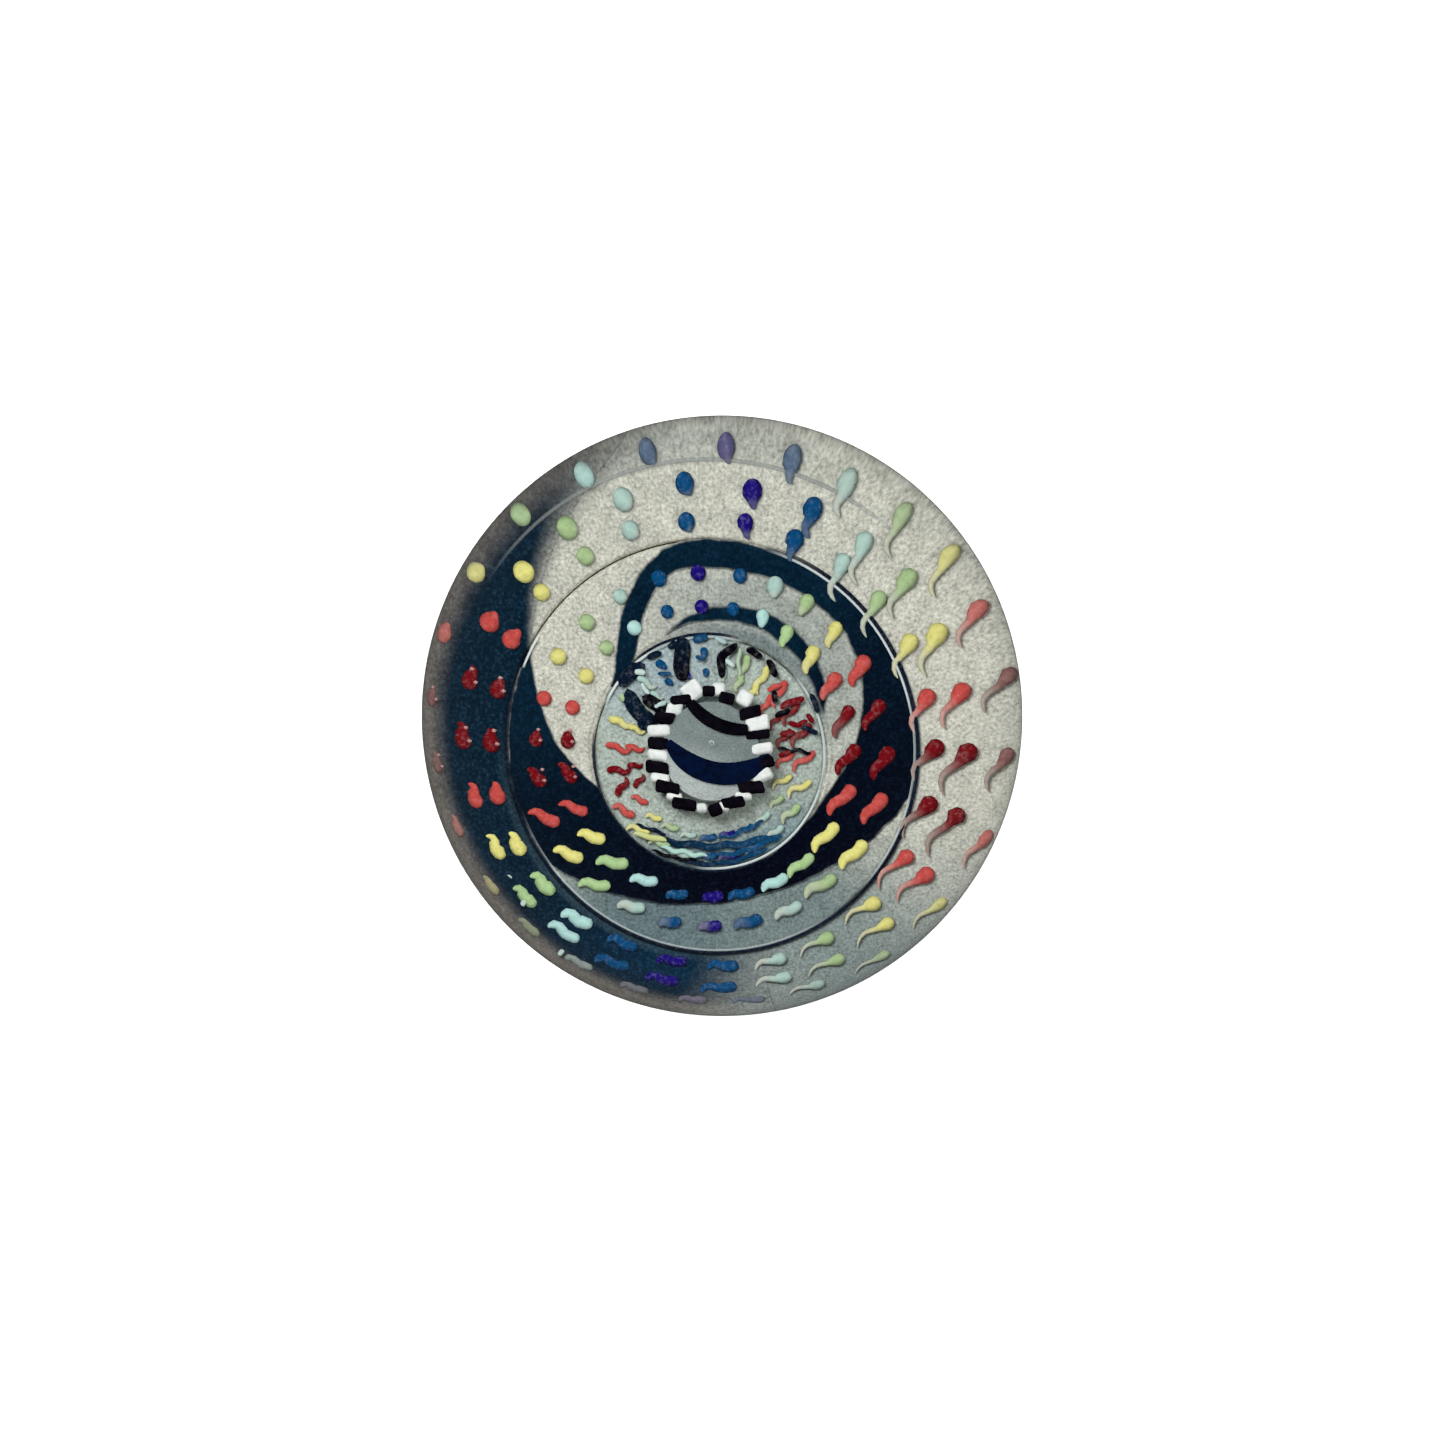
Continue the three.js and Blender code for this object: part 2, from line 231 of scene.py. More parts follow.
# ---- shader graphs ---------------------------------------------------------------------------
class Graph:
    """The node tree of one finish, or of the studio's surroundings."""

    def __init__(self, owner: bpy.types.Material | bpy.types.World) -> None:
        """Empties the owner's node tree.

        Args:
            owner: the material or the world that the nodes belong to.
        """
        self.owner = owner
        owner.use_nodes = True
        self.tree = owner.node_tree
        self.tree.nodes.clear()

    def node(self, kind: str, settings: dict | None = None, inputs: dict | None = None) -> bpy.types.Node:
        """Adds a node.

        Args:
            kind: the node's type.
            settings: its properties, set first.
            inputs: numbers, colours, Values or sockets, by the name or number of the input.

        Returns:
            The node.
        """
        made = self.tree.nodes.new(kind)
        for name, setting in (settings or {}).items():
            setattr(made, name, setting)
        for name, value in (inputs or {}).items():
            self.feed(made.inputs[name], value)
        return made

    def feed(self, socket: bpy.types.NodeSocket, value: Any) -> None:
        """Sets an input socket to a number or a colour, or links it.

        Args:
            socket: the input.
            value: a number, a colour, a Value or an output socket.
        """
        if isinstance(value, Value):
            value = value.socket
        if isinstance(value, bpy.types.NodeSocket):
            self.tree.links.new(value, socket)
        elif isinstance(value, tuple) and socket.type == "RGBA":
            socket.default_value = (*value, 1.0)
        else:
            socket.default_value = value

    def value(
        self, kind: str, settings: dict | None = None, inputs: dict | None = None, output: int | str = 0
    ) -> Value:
        """Adds a node, as node does, and gives one of its outputs as a number."""
        return Value(self, self.node(kind, settings, inputs).outputs[output])

    def mix(self, below: Any, above: Any, amount: Number) -> bpy.types.NodeSocket:
        """A colour between two colours."""
        return self.node("ShaderNodeMix", {"data_type": "RGBA"}, {0: amount, 6: below, 7: above}).outputs[2]

    def scaled(self, colour: Any, amount: Number) -> bpy.types.NodeSocket:
        """A colour made lighter or darker."""
        inputs = {0: colour, "Scale": amount}
        return self.node("ShaderNodeVectorMath", {"operation": "SCALE"}, inputs).outputs[0]

    def place(self) -> tuple[Value, Value, bpy.types.NodeSocket]:
        """Where a point lies on the motif in millimetres, as if the motif were round.

        Returns:
            The point's x, its y, and the point itself.
        """
        point = self.node("ShaderNodeTexCoord").outputs["Object"]
        unit = (1 / MM / OVAL[0], 1 / MM / OVAL[1], 1 / MM)
        node = self.node("ShaderNodeVectorMath", {"operation": "MULTIPLY"}, {0: point, 1: unit})
        apart = self.node("ShaderNodeSeparateXYZ", inputs={0: node.outputs[0]})
        return Value(self, apart.outputs[0]), Value(self, apart.outputs[1]), node.outputs[0]

    def noise(self, point: Any, scale: float, detail: float = 2.0, roughness: float = 0.5) -> Value:
        """Soft noise about 0.5, with about scale lumps to the millimetre."""
        inputs = {"Vector": point, "Scale": scale, "Detail": detail, "Roughness": roughness}
        return self.value("ShaderNodeTexNoise", inputs=inputs)

    def bump(self, height: Value, strength: float, distance: float) -> bpy.types.NodeSocket:
        """A normal bent by a height, over a distance in millimetres."""
        inputs = {"Strength": strength, "Distance": distance * MM, "Height": height}
        return self.node("ShaderNodeBump", inputs=inputs).outputs[0]

    def surface(self, **inputs: Any) -> bpy.types.Node:
        """A Principled shader, with its inputs' names written with underscores."""
        named = {name.replace("_", " "): value for name, value in inputs.items()}
        return self.node("ShaderNodeBsdfPrincipled", inputs=named)

    def cased(self, colour: Any, roughness: Number, normal: bpy.types.NodeSocket) -> bpy.types.Node:
        """The surface of glass that is cased in clear glass, so it mirrors nothing."""
        return self.surface(Base_Color=colour, Roughness=roughness, Normal=normal, Specular_IOR_Level=0.0)

    def out(self, shader: bpy.types.Node) -> Any:
        """Sends a shader to the output.

        Args:
            shader: the last shader of the graph.

        Returns:
            The material or the world.
        """
        kind = "World" if isinstance(self.owner, bpy.types.World) else "Material"
        self.node(f"ShaderNodeOutput{kind}", inputs={"Surface": shader.outputs[0]})
        return self.owner


def linear(red: int, green: int, blue: int) -> Rgb:
    """A colour given as on a screen, 0 to 255, as the shaders take it.

    Args:
        red: the red channel.
        green: the green channel.
        blue: the blue channel.

    Returns:
        The linear colour.
    """

    def one(channel: int) -> float:
        """One channel made linear."""
        part = channel / 255
        return part / 12.92 if part <= 0.04045 else ((part + 0.055) / 1.055) ** 2.4

    return one(red), one(green), one(blue)


def between(a: Rgb, b: Rgb, amount: float) -> Rgb:
    """A colour between two colours."""
    return tuple(p + (q - p) * amount for p, q in zip(a, b))


WHITE = (1.0, 1.0, 1.0)
BLACK = (0.0, 0.0, 0.01)
PALE = linear(202, 202, 189)
SHADED_PALE = linear(122, 137, 136)
INNER_PALE = linear(172, 183, 174)
INNER_COOL = linear(158, 178, 188)
INNER_WET = linear(70, 112, 130)
NAVY = linear(3, 31, 49)
DEEP_NAVY = linear(1, 3, 20)
TEAL = linear(6, 50, 78)
# Painted light: this slate lightens the navy as a painted highlight by the middle rim, and greys the pale
# ground as a painted shade by the inner rim.
HIGHLIGHT_AND_SHADE_SLATE = linear(72, 96, 106)
# Painted reflection: a grey haze laid over the navy outside the outer step and over the dots at the lower
# left.
REFLECTION_HAZE = linear(128, 122, 114)
FLECK = linear(120, 150, 158)


# ---- the navy pattern ------------------------------------------------------------------------
@dataclass(frozen=True)
class Stretch:
    """A stretch from one number to another."""

    low: float
    high: float

    def at(self, part: Number) -> Number:
        """The number at a share of the way along."""
        return self.low + (self.high - self.low) * part

    def rise(self, x: Number) -> Number:
        """Goes from 0 to 1 along the stretch."""
        return rise(x, self.low, self.high)

    def hump(self, x: Number) -> Number:
        """Goes from 0 to 1 and back along the stretch."""
        return hump(x, self.low, self.high)


@dataclass(frozen=True)
class Shade:
    """A shade that is strongest half way along a stretch of angles or radii."""

    strength: float
    low: float
    high: float

    def at(self, x: Number) -> Number:
        """How strong the shade is at an angle or a radius."""
        return self.strength * hump(x, self.low, self.high)


@dataclass(frozen=True)
class Swirl:
    """The polar curves that bound the navy, as radii at an angle. The angle runs on past 360."""

    start_angle: float = 112.0
    start_radius: float = 20.5
    pitch: float = 0.136
    low: float = INNER_RIM + 0.05
    high: float = MIDDLE_RIM + 0.05
    lift: float = 4.75
    lifted: Stretch = Stretch(325, 410)
    lowered: Stretch = Stretch(458, 494)
    belly: float = 4.1
    belly_span: Stretch = Stretch(214, 350)
    taper: float = 6.4
    tapered: Stretch = Stretch(455, 508)
    crescent_gap: float = 0.45
    crescent_inner_rise: float = 0.8
    crescent_inner_span: Stretch = Stretch(390, 475)
    crescent_outer_rise: float = 2.05
    crescent_outer_span: Stretch = Stretch(380, 472)

    def spiral(self, turn: Number) -> Number:
        """The edge that the navy follows inwards."""
        return self.start_radius - self.pitch * (turn - self.start_angle)

    def arm_inner(self, turn: Number) -> Number:
        """Inner edge of the long arm on the middle tier."""
        lifted = self.lift * (self.lifted.rise(turn) - self.lowered.rise(turn))
        return larger(self.spiral(turn), self.low) + lifted

    def arm_outer(self, turn: Number) -> Number:
        """Outer edge of the long arm."""
        return self.high - self.belly * self.belly_span.hump(turn) - self.taper * self.tapered.rise(turn)

    def crescent_inner(self, turn: Number) -> Number:
        """Inner edge of the short crescent beside the inner rim."""
        return self.low + self.crescent_gap + self.crescent_inner_rise * self.crescent_inner_span.hump(turn)

    def crescent_outer(self, turn: Number) -> Number:
        """Outer edge of the short crescent."""
        return self.low + self.crescent_gap + self.crescent_outer_rise * self.crescent_outer_span.hump(turn)


SWIRL = Swirl()
OUTER_START = 60.0
OUTER_END = 286.0
MIDDLE_START = 146.0


# ---- finishes --------------------------------------------------------------------------------
class Tier(Enum):
    """The three round tiers of the ground."""

    OUTER = "outer"
    MIDDLE = "middle"
    INNER = "inner"


@dataclass(frozen=True)
class Finish:
    """A finish, made from one shader graph."""

    name: str

    def material(self) -> bpy.types.Material:
        """The finish as a material."""
        graph = Graph(bpy.data.materials.new(self.name))
        return graph.out(self.shader(graph))

    def shader(self, graph: Graph) -> bpy.types.Node:
        """The last shader of the graph, which each finish builds in its own way."""
        raise NotImplementedError


@dataclass(frozen=True)
class TierGlass(Finish):
    """Pale speckled glass with a tier's own colours fused into it."""

    flecked: float
    turn_start: float
    speckled: float = 2.0
    mottled: float = 0.7
    drifting: float = 0.5
    flecks: Stretch = Stretch(0.5, 0.75)

    def shader(self, graph: Graph) -> bpy.types.Node:
        """The tier's colours under speckles, flecks and mottling.

        Args:
            graph: where the nodes go.

        Returns:
            The last shader.
        """
        x, y, point = graph.place()
        drift = graph.noise(point, 0.55, detail=3.0)
        speckle = graph.noise(point, 4.2, detail=2.0, roughness=0.7)
        mottle = graph.noise(point, 1.1, detail=3.0)
        radius = (x * x + y * y) ** 0.5 + self.drifting * (drift - 0.5)
        degrees = y.angle_from(x)
        painted = self.painted(graph, radius, degrees + 360 * (degrees < self.turn_start))
        flecks = self.flecked * share(speckle, self.flecks.low, self.flecks.high)
        tone = 1.0 + self.speckled * (speckle - 0.5) + self.mottled * (mottle - 0.5)
        colour = graph.scaled(graph.mix(painted, FLECK, flecks), tone)
        normal = graph.bump(mottle, strength=0.15, distance=0.3)
        return graph.cased(colour, 0.35 + 0.2 * mottle, normal)

    def painted(self, graph: Graph, radius: Value, turn: Value) -> bpy.types.NodeSocket:
        """The tier's colour at a radius and an angle, which each tier paints in its own way."""
        raise NotImplementedError


@dataclass(frozen=True)
class OuterGlass(TierGlass):
    """The outer tier: navy down the left, fading at both ends, greyed outside the step by a painted
    reflection.
    """

    name: str = "outer_ground_glass"
    flecked: float = 0.07
    turn_start: float = OUTER_START
    softness: float = 0.35
    softer_outwards: float = 0.28
    ending: Stretch = Stretch(266, 296)
    ending_slant: float = 1.2
    teal: Shade = Shade(0.45, 226, 300)
    teal_edge: Stretch = Stretch(17.5, 21)
    # Painted highlight: slate over the navy just past the middle rim, down the left.
    shoulder: Shade = Shade(0.35, 170, 290)
    rim_highlight_edge: Stretch = Stretch(0.6, 1.1)
    # Painted reflection: how strongly the haze greys the navy outside the step, and where it starts.
    reflection_strength: float = 0.85
    reflection_edge: Stretch = Stretch(-0.2, 2.4)
    step_shade: Shade = Shade(0.4, -0.2, 1.8)
    step_turn: Stretch = Stretch(60, 145)
    low_shade: Shade = Shade(0.6, 270, 400)
    left_shade: Shade = Shade(0.55, 235, 330)
    low_end: Stretch = Stretch(316, 352)
    rim_shade: float = 0.5
    rim_edge: Stretch = Stretch(23.5, 26)
    rim_relief: Shade = Shade(0.75, 60, 140)

    def painted(self, graph: Graph, radius: Value, turn: Value) -> bpy.types.NodeSocket:
        """Navy, teal, a painted highlight and a painted reflection over the pale ground and its painted
        shades.

        Args:
            graph: where the nodes go.
            radius: the distance from the axis.
            turn: the angle, from the tier's own start.

        Returns:
            The colour.
        """
        past_rim = radius - MIDDLE_RIM
        past_step = radius - OUTER_STEP
        soft = self.softness + self.softer_outwards * past_rim.at_least(0.0)
        edge = SWIRL.spiral(turn)
        started = rise(radius, edge - soft, edge + soft)
        ended = self.ending.rise(turn + self.ending_slant * past_rim)
        teal_share = self.teal.at(turn) * (1 - self.teal_edge.rise(radius))
        # Painted highlight: the navy lightens to slate just past the middle rim.
        shoulder = (1 - self.rim_highlight_edge.rise(past_rim)) * self.shoulder.at(turn)
        navy = graph.mix(graph.mix(NAVY, TEAL, teal_share), HIGHLIGHT_AND_SHADE_SLATE, shoulder)
        # Painted reflection: the navy greys towards the haze outside the step.
        veiled_by_reflection = graph.mix(navy, REFLECTION_HAZE, self.reflection_strength * self.reflection_edge.rise(past_step))
        low_shade = (self.low_shade.at(turn) + self.left_shade.at(turn)) * (1 - self.low_end.rise(turn))
        rim_shade = self.rim_shade * self.rim_edge.rise(radius) * (1 - self.rim_relief.at(turn))
        pale = PALE
        for shade in (self.step_shade.at(past_step) * self.step_turn.hump(turn), low_shade, rim_shade):
            pale = graph.mix(pale, SHADED_PALE, shade)
        return graph.mix(pale, veiled_by_reflection, started * (1 - ended))


@dataclass(frozen=True)
class MiddleGlass(TierGlass):
    """The middle tier: the navy of the long arm and of the short crescent."""

    name: str = "middle_ground_glass"
    flecked: float = 0.02
    turn_start: float = MIDDLE_START
    softness: float = 0.16
    depth: Stretch = Stretch(175, 410)
    low_shade: Shade = Shade(1.35, 200, 345)
    right_shade: Shade = Shade(0.62, 345, 490)
    right_edge: Stretch = Stretch(12.6, 14.6)
    rim_shade: Shade = Shade(0.55, -0.1, 1.2)
    rim_turn: Stretch = Stretch(372, 478)
    left_shade: Shade = Shade(0.5, 212, 286)

    def painted(self, graph: Graph, radius: Value, turn: Value) -> bpy.types.NodeSocket:
        """The two navy bands over the pale ground and its shades.

        Args:
            graph: where the nodes go.
            radius: the distance from the axis.
            turn: the angle, from the tier's own start.

        Returns:
            The colour.
        """
        soft = self.softness

        def band(inner: Value, outer: Value) -> Value:
            """1 between two radii and 0 outside them, with a soft edge."""
            return rise(radius, inner - soft, inner + soft) * (1 - rise(radius, outer - soft, outer + soft))

        arm = band(SWIRL.arm_inner(turn), SWIRL.arm_outer(turn))
        crescent = band(SWIRL.crescent_inner(turn), SWIRL.crescent_outer(turn))
        navy = graph.mix(NAVY, DEEP_NAVY, self.depth.hump(turn).at_least(0.0) ** 0.5)
        right_shade = self.right_shade.at(turn) * (1 - self.right_edge.rise(radius))
        pale = graph.mix(PALE, SHADED_PALE, self.low_shade.at(turn).at_least(right_shade).at_most(1.0))
        rim_shade = self.rim_shade.at(radius - INNER_RIM) * self.rim_turn.hump(turn)
        # Painted shade: slate greys the pale ground by the inner rim and at the left.
        shaded = graph.mix(pale, HIGHLIGHT_AND_SHADE_SLATE, rim_shade.at_least(self.left_shade.at(turn)))
        return graph.mix(shaded, navy, arm.at_least(crescent))


@dataclass(frozen=True)
class InnerGlass(TierGlass):
    """The inner tier: cool grey, with a wet blue shade at the bottom."""

    name: str = "inner_ground_glass"
    flecked: float = 0.05
    turn_start: float = 0.0
    cool: Shade = Shade(0.6, 70, 170)
    wet: Shade = Shade(0.75, 225, 345)
    wet_edge: Stretch = Stretch(5.4, 8.0)

    def painted(self, graph: Graph, radius: Value, turn: Value) -> bpy.types.NodeSocket:
        """Cool and wet shades over the inner tier's grey.

        Args:
            graph: where the nodes go.
            radius: the distance from the axis.
            turn: the angle, from the tier's own start.

        Returns:
            The colour.
        """
        cool = graph.mix(INNER_PALE, INNER_COOL, self.cool.at(turn))
        return graph.mix(cool, INNER_WET, self.wet.at(turn) * self.wet_edge.rise(radius))


TIER_GLASS = {Tier.OUTER: OuterGlass, Tier.MIDDLE: MiddleGlass, Tier.INNER: InnerGlass}


@dataclass(frozen=True)
class ClearGlass(Finish):
    """Polished clear glass that lets lamps through."""

    name: str = "clear_glass"
    ior: float = 1.5
    tint: Rgb = (0.985, 0.995, 0.99)
    lamp_share: float = 0.9

    def shader(self, graph: Graph) -> bpy.types.Node:
        """Glass to the eye, and almost nothing to a lamp.

        Args:
            graph: where the nodes go.

        Returns:
            The last shader.
        """
        glass = graph.surface(Base_Color=self.tint, Roughness=0.0, IOR=self.ior, Transmission_Weight=1.0)
        let_through = graph.node("ShaderNodeBsdfTransparent", inputs={0: (self.lamp_share,) * 3})
        lamp_ray = graph.node("ShaderNodeLightPath").outputs["Is Shadow Ray"]
        inputs = {0: lamp_ray, 1: glass.outputs[0], 2: let_through.outputs[0]}
        return graph.node("ShaderNodeMixShader", inputs=inputs)


@dataclass(frozen=True)
class PaintedGlass(Finish):
    """Opaque glass coloured by the piece's own vertex colours, with a little mottling."""

    roughness: float = 0.3
    mottling: float = 0.35
    lighter_share: float = 0.4
    see_through: bool = False

    def shader(self, graph: Graph) -> bpy.types.Node:
        """The piece's colours, with darker and lighter lumps.

        Args:
            graph: where the nodes go.

        Returns:
            The last shader.
        """
        _, _, point = graph.place()
        paint = graph.node("ShaderNodeAttribute", {"attribute_name": PAINT})
        lumps = graph.noise(point, 3.2, detail=3.0, roughness=0.6)
        darker = self.mottling * share(lumps, 0.5, 0.85)
        lighter = self.lighter_share * self.mottling * share(lumps, 0.5, 0.15)
        colour = graph.mix(graph.mix(paint.outputs["Color"], BLACK, darker), WHITE, lighter)
        normal = graph.bump(lumps, strength=0.2, distance=0.15)
        shader = graph.cased(colour, self.roughness + 0.15 * lumps, normal)
        if self.see_through:
            graph.feed(shader.inputs["Alpha"], paint.outputs["Alpha"])
        return shader


@dataclass(frozen=True)
class PlainGlass(Finish):
    """Opaque glass of one colour, clouded and speckled with another."""

    colour: Rgb
    cloud: Rgb
    roughness: float = 0.35
    cloud_scale: float = 1.2

    def shader(self, graph: Graph) -> bpy.types.Node:
        """The glass's colour under clouds and speckles.

        Args:
            graph: where the nodes go.

        Returns:
            The last shader.
        """
        _, _, point = graph.place()
        clouds = graph.noise(point, self.cloud_scale, detail=3.0, roughness=0.6)
        speckle = graph.noise(point, 7.0, detail=2.0, roughness=0.7)
        clouded = graph.mix(self.colour, self.cloud, share(clouds, 0.42, 0.66))
        grain = graph.mix(clouded, self.cloud, 0.5 * share(speckle, 0.45, 0.7))
        normal = graph.bump(speckle, strength=0.1, distance=0.1)
        return graph.cased(grain, self.roughness + 0.15 * clouds, normal)


@dataclass(frozen=True)
class EyeGrey(Finish):
    """The eye's grey glass, finely speckled and darker above the lower band."""

    name: str = "eye_grey"
    colour: Rgb = linear(176, 185, 182)
    shade: Rgb = linear(126, 138, 136)
    shade_edge: Stretch = Stretch(-2.2, 0.6)
    shade_slant: float = 0.3
    shade_waver: float = 1.5

    def shader(self, graph: Graph) -> bpy.types.Node:
        """The eye's two greys under fine speckles.

        Args:
            graph: where the nodes go.

        Returns:
            The last shader.
        """
        x, y, point = graph.place()
        speckle = graph.noise(point, 8.0, detail=3.0, roughness=0.7)
        clouds = graph.noise(point, 0.9)
        upper = self.shade_edge.rise(y + self.shade_slant * x + self.shade_waver * (clouds - 0.5))
        tone = 1.0 + 1.6 * (speckle - 0.5) + 0.4 * (clouds - 0.5)
        colour = graph.scaled(graph.mix(self.colour, self.shade, upper), tone)
        normal = graph.bump(speckle, strength=0.1, distance=0.1)
        return graph.cased(colour, 0.3 + 0.2 * speckle, normal)


# ---- making pieces ---------------------------------------------------------------------------
@dataclass
class Piece:
    """A bmesh in millimetres that becomes one named piece of the paperweight."""

    name: str
    mesh: bmesh.types.BMesh
    replaced: Sequence[str]
    slot: str
    sharp_angle: float = 40.0
    oval: bool = True

    def finished(self, finish: bpy.types.Material) -> None:
        """Brings the mesh to metres, dresses it, and puts it in the frame.

        Args:
            finish: the piece's material.
        """
        along, across = OVAL if self.oval else (1.0, 1.0)
        bmesh.ops.scale(self.mesh, vec=(along * MM, across * MM, MM), verts=self.mesh.verts)
        bmesh.ops.recalc_face_normals(self.mesh, faces=self.mesh.faces)
        for face in self.mesh.faces:
            face.smooth = True
        data = bpy.data.meshes.new(self.name)
        self.mesh.to_mesh(data)
        self.mesh.free()
        data.set_sharp_from_angle(angle=math.radians(self.sharp_angle))
        data.materials.append(finish)
        made = bpy.data.objects.new(self.name, data)
        bpy.context.collection.objects.link(made)
        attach(made, BODY)
        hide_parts(*self.replaced)
        stands_for = ", ".join(self.replaced) or "no node"
        LOG.info("%s: %d faces, stands for %s", self.name, len(data.polygons), stands_for)


def turned(profile: Sequence[Point], steps: int = 128) -> bmesh.types.BMesh:
    """Turns a profile round the axis.

    Args:
        profile: points as (radius, height), from the axis or closed on itself.
        steps: how many steps the turn takes.

    Returns:
        The closed mesh.
    """
    mesh = bmesh.new()
    corners = [mesh.verts.new((radius, 0.0, z)) for radius, z in profile]
    edges = [mesh.edges.new(pair) for pair in zip(corners, corners[1:])]
    spin_round(mesh, corners + edges, steps)
    bmesh.ops.remove_doubles(mesh, verts=mesh.verts, dist=MERGED)
    return mesh


def spin_round(mesh: bmesh.types.BMesh, section: list, steps: int) -> None:
    """Spins a section once round the axis.

    Args:
        mesh: the mesh that holds it.
        section: its vertices and edges.
        steps: how many steps the turn takes.
    """
    bmesh.ops.spin(
        mesh, geom=section, cent=(0, 0, 0), axis=(0, 0, 1), angle=math.tau, steps=steps, use_merge=True
    )


def arc(radius: float, start: float, end: float, steps: int, centre: Point = (0.0, 0.0)) -> list[Point]:
    """Points along an arc of a profile, from one angle above the horizontal to another."""
    angles = [math.radians(start + (end - start) * i / steps) for i in range(steps + 1)]
    return [(centre[0] + radius * math.cos(a), centre[1] + radius * math.sin(a)) for a in angles]


def bent_plate(
    place: Callable[[float, float], Vector], along: int, across: int, thickness: float = 0.3
) -> bmesh.types.BMesh:
    """A thin plate bent from a flat grid.

    Args:
        place: where a point of the grid goes, by its shares along and across the plate.
        along: cells along the plate.
        across: cells across it.
        thickness: how far the plate goes down below its face.

    Returns:
        The plate as a closed solid.
    """
    mesh = bmesh.new()
    bmesh.ops.create_grid(mesh, x_segments=along, y_segments=across, size=0.5)
    for vert in mesh.verts:
        vert.co = place(vert.co.x + 0.5, vert.co.y + 0.5)
    bmesh.ops.remove_doubles(mesh, verts=mesh.verts, dist=TINY)
    bmesh.ops.recalc_face_normals(mesh, faces=mesh.faces)
    if sum(face.normal.z for face in mesh.faces) < 0:
        bmesh.ops.reverse_faces(mesh, faces=mesh.faces)
    below = bmesh.ops.extrude_face_region(mesh, geom=mesh.faces[:], use_keep_orig=True)
    moved = [item for item in below["geom"] if isinstance(item, bmesh.types.BMVert)]
    bmesh.ops.translate(mesh, vec=(0, 0, -thickness), verts=moved)
    return mesh


def painted_mesh() -> bmesh.types.BMesh:
    """An empty mesh with a layer for vertex colours.

    Returns:
        The mesh.
    """
    mesh = bmesh.new()
    mesh.verts.layers.float_color.new(PAINT)
    return mesh


@dataclass
class Blob:
    """A drop of glass drawn out along a line: a sphere bent, tapered and flattened.

    The line, the widths and the colours are functions of the share of the way along. The outline
    is a painted shade: how much darker the drop is at its sides than on its crown, as if lit from
    above, which also gives the enamel its dark outline.
    """

    line: Callable[[float], Vector]
    half_width: Callable[[float], float]
    paint: Callable[[float], Rgb]
    flatness: float = 0.4
    rings: int = 11
    sides: int = 8
    outline: float = 0.5

    def add_to(self, mesh: bmesh.types.BMesh) -> None:
        """Adds the drop to a mesh that has a paint layer.

        Args:
            mesh: the mesh.
        """
        layer = mesh.verts.layers.float_color[PAINT]
        step = 0.02
        made = bmesh.ops.create_uvsphere(mesh, u_segments=self.sides, v_segments=self.rings, radius=1.0)
        for vert in made["verts"]:
            pole = max(-1.0, min(1.0, vert.co.z))
            at_pole = abs(pole) > 1.0 - TINY
            along = 1.0 - math.acos(pole) / math.pi
            turn = math.atan2(vert.co.y, vert.co.x)
            ahead = self.line(min(1.0, along + step)) - self.line(max(0.0, along - step))
            side = Vector((-ahead.y, ahead.x, 0.0)).normalized()
            width = 0.0 if at_pole else self.half_width(along)
            lift = Vector((0, 0, width * self.flatness * math.sin(turn)))
            vert.co = self.line(along) + side * (width * math.cos(turn)) + lift
            # Painted shade: the sides of the drop are darker than its crown, as if lit from above, which
            # also gives the enamel its dark outline.
            shade = 1.0 if at_pole else 1.0 - self.outline * (1.0 - max(0.0, math.sin(turn)))
            vert[layer] = (*(shade * channel for channel in self.paint(along)), 1.0)


@dataclass(frozen=True)
class Stroke:
    """A stroke of glass between two points, bowed to its left and wavy."""

    start: Point
    end: Point
    half: float
    colour: Rgb
    bow: float = 0.0
    wave: float = 0.0
    waves: float = 1.0
    tip: Rgb | None = None

    def add_to(self, mesh: bmesh.types.BMesh, z: float) -> None:
        """Adds the stroke to a painted mesh.

        Args:
            mesh: the mesh.
            z: the height of the stroke's middle.
        """
        first = Vector((*self.start, z))
        way = Vector((*self.end, z)) - first
        side = Vector((-way.y, way.x, 0.0)).normalized()
        tip = self.tip or self.colour

        def line(along: float) -> Vector:
            """A point on the stroke's middle."""
            bend = self.bow * hump(along, 0.0, 1.0) + self.wave * math.sin(math.tau * self.waves * along)
            return first + way * along + side * bend

        def half_width(along: float) -> float:
            """Half the stroke's width, with round ends."""
            return self.half * (1.0 - abs(2 * along - 1) ** 4) ** 0.5

        def paint(along: float) -> Rgb:
            """The stroke's colour, which turns into the tip's."""
            return between(self.colour, tip, along)

        rings = 9 + round(8 * self.waves * (self.wave > 0))
        Blob(line, half_width, paint, flatness=0.35, rings=rings).add_to(mesh)


# ---- clear ball ------------------------------------------------------------------------------
@dataclass
class ClearBall:
    """The clear glass: one polished ball with a flat ground foot."""

    foot_edge: float = 0.7
    foot_chamfer: float = 0.18
    foot_slope: float = 1.4
    arc_steps: int = 84
    turn_steps: int = 192

    def build(self) -> None:
        """Turns the ball's outline and dresses it."""
        foot_angle = -math.degrees(math.asin(BALL_CENTRE_Z / BALL_RADIUS))
        edge = math.degrees(self.foot_edge / BALL_RADIUS)
        outline = arc(BALL_RADIUS, foot_angle + edge, 90.0, self.arc_steps, (0.0, BALL_CENTRE_Z))
        outline[-1] = (0.0, BALL_CENTRE_Z + BALL_RADIUS)
        foot = math.sqrt(BALL_RADIUS**2 - BALL_CENTRE_Z**2)
        slope, chamfer = self.foot_slope, self.foot_chamfer
        rounded = [(foot - slope * self.foot_edge, 0.0), (foot - slope * chamfer, chamfer)]
        mesh = turned([(0.0, 0.0), *rounded, *outline], self.turn_steps)
        ball = Piece("clear_ball", mesh, ["magnifying_dome", "base_pad"], "clear_glass", 30.0, False)
        ball.finished(ClearGlass().material())


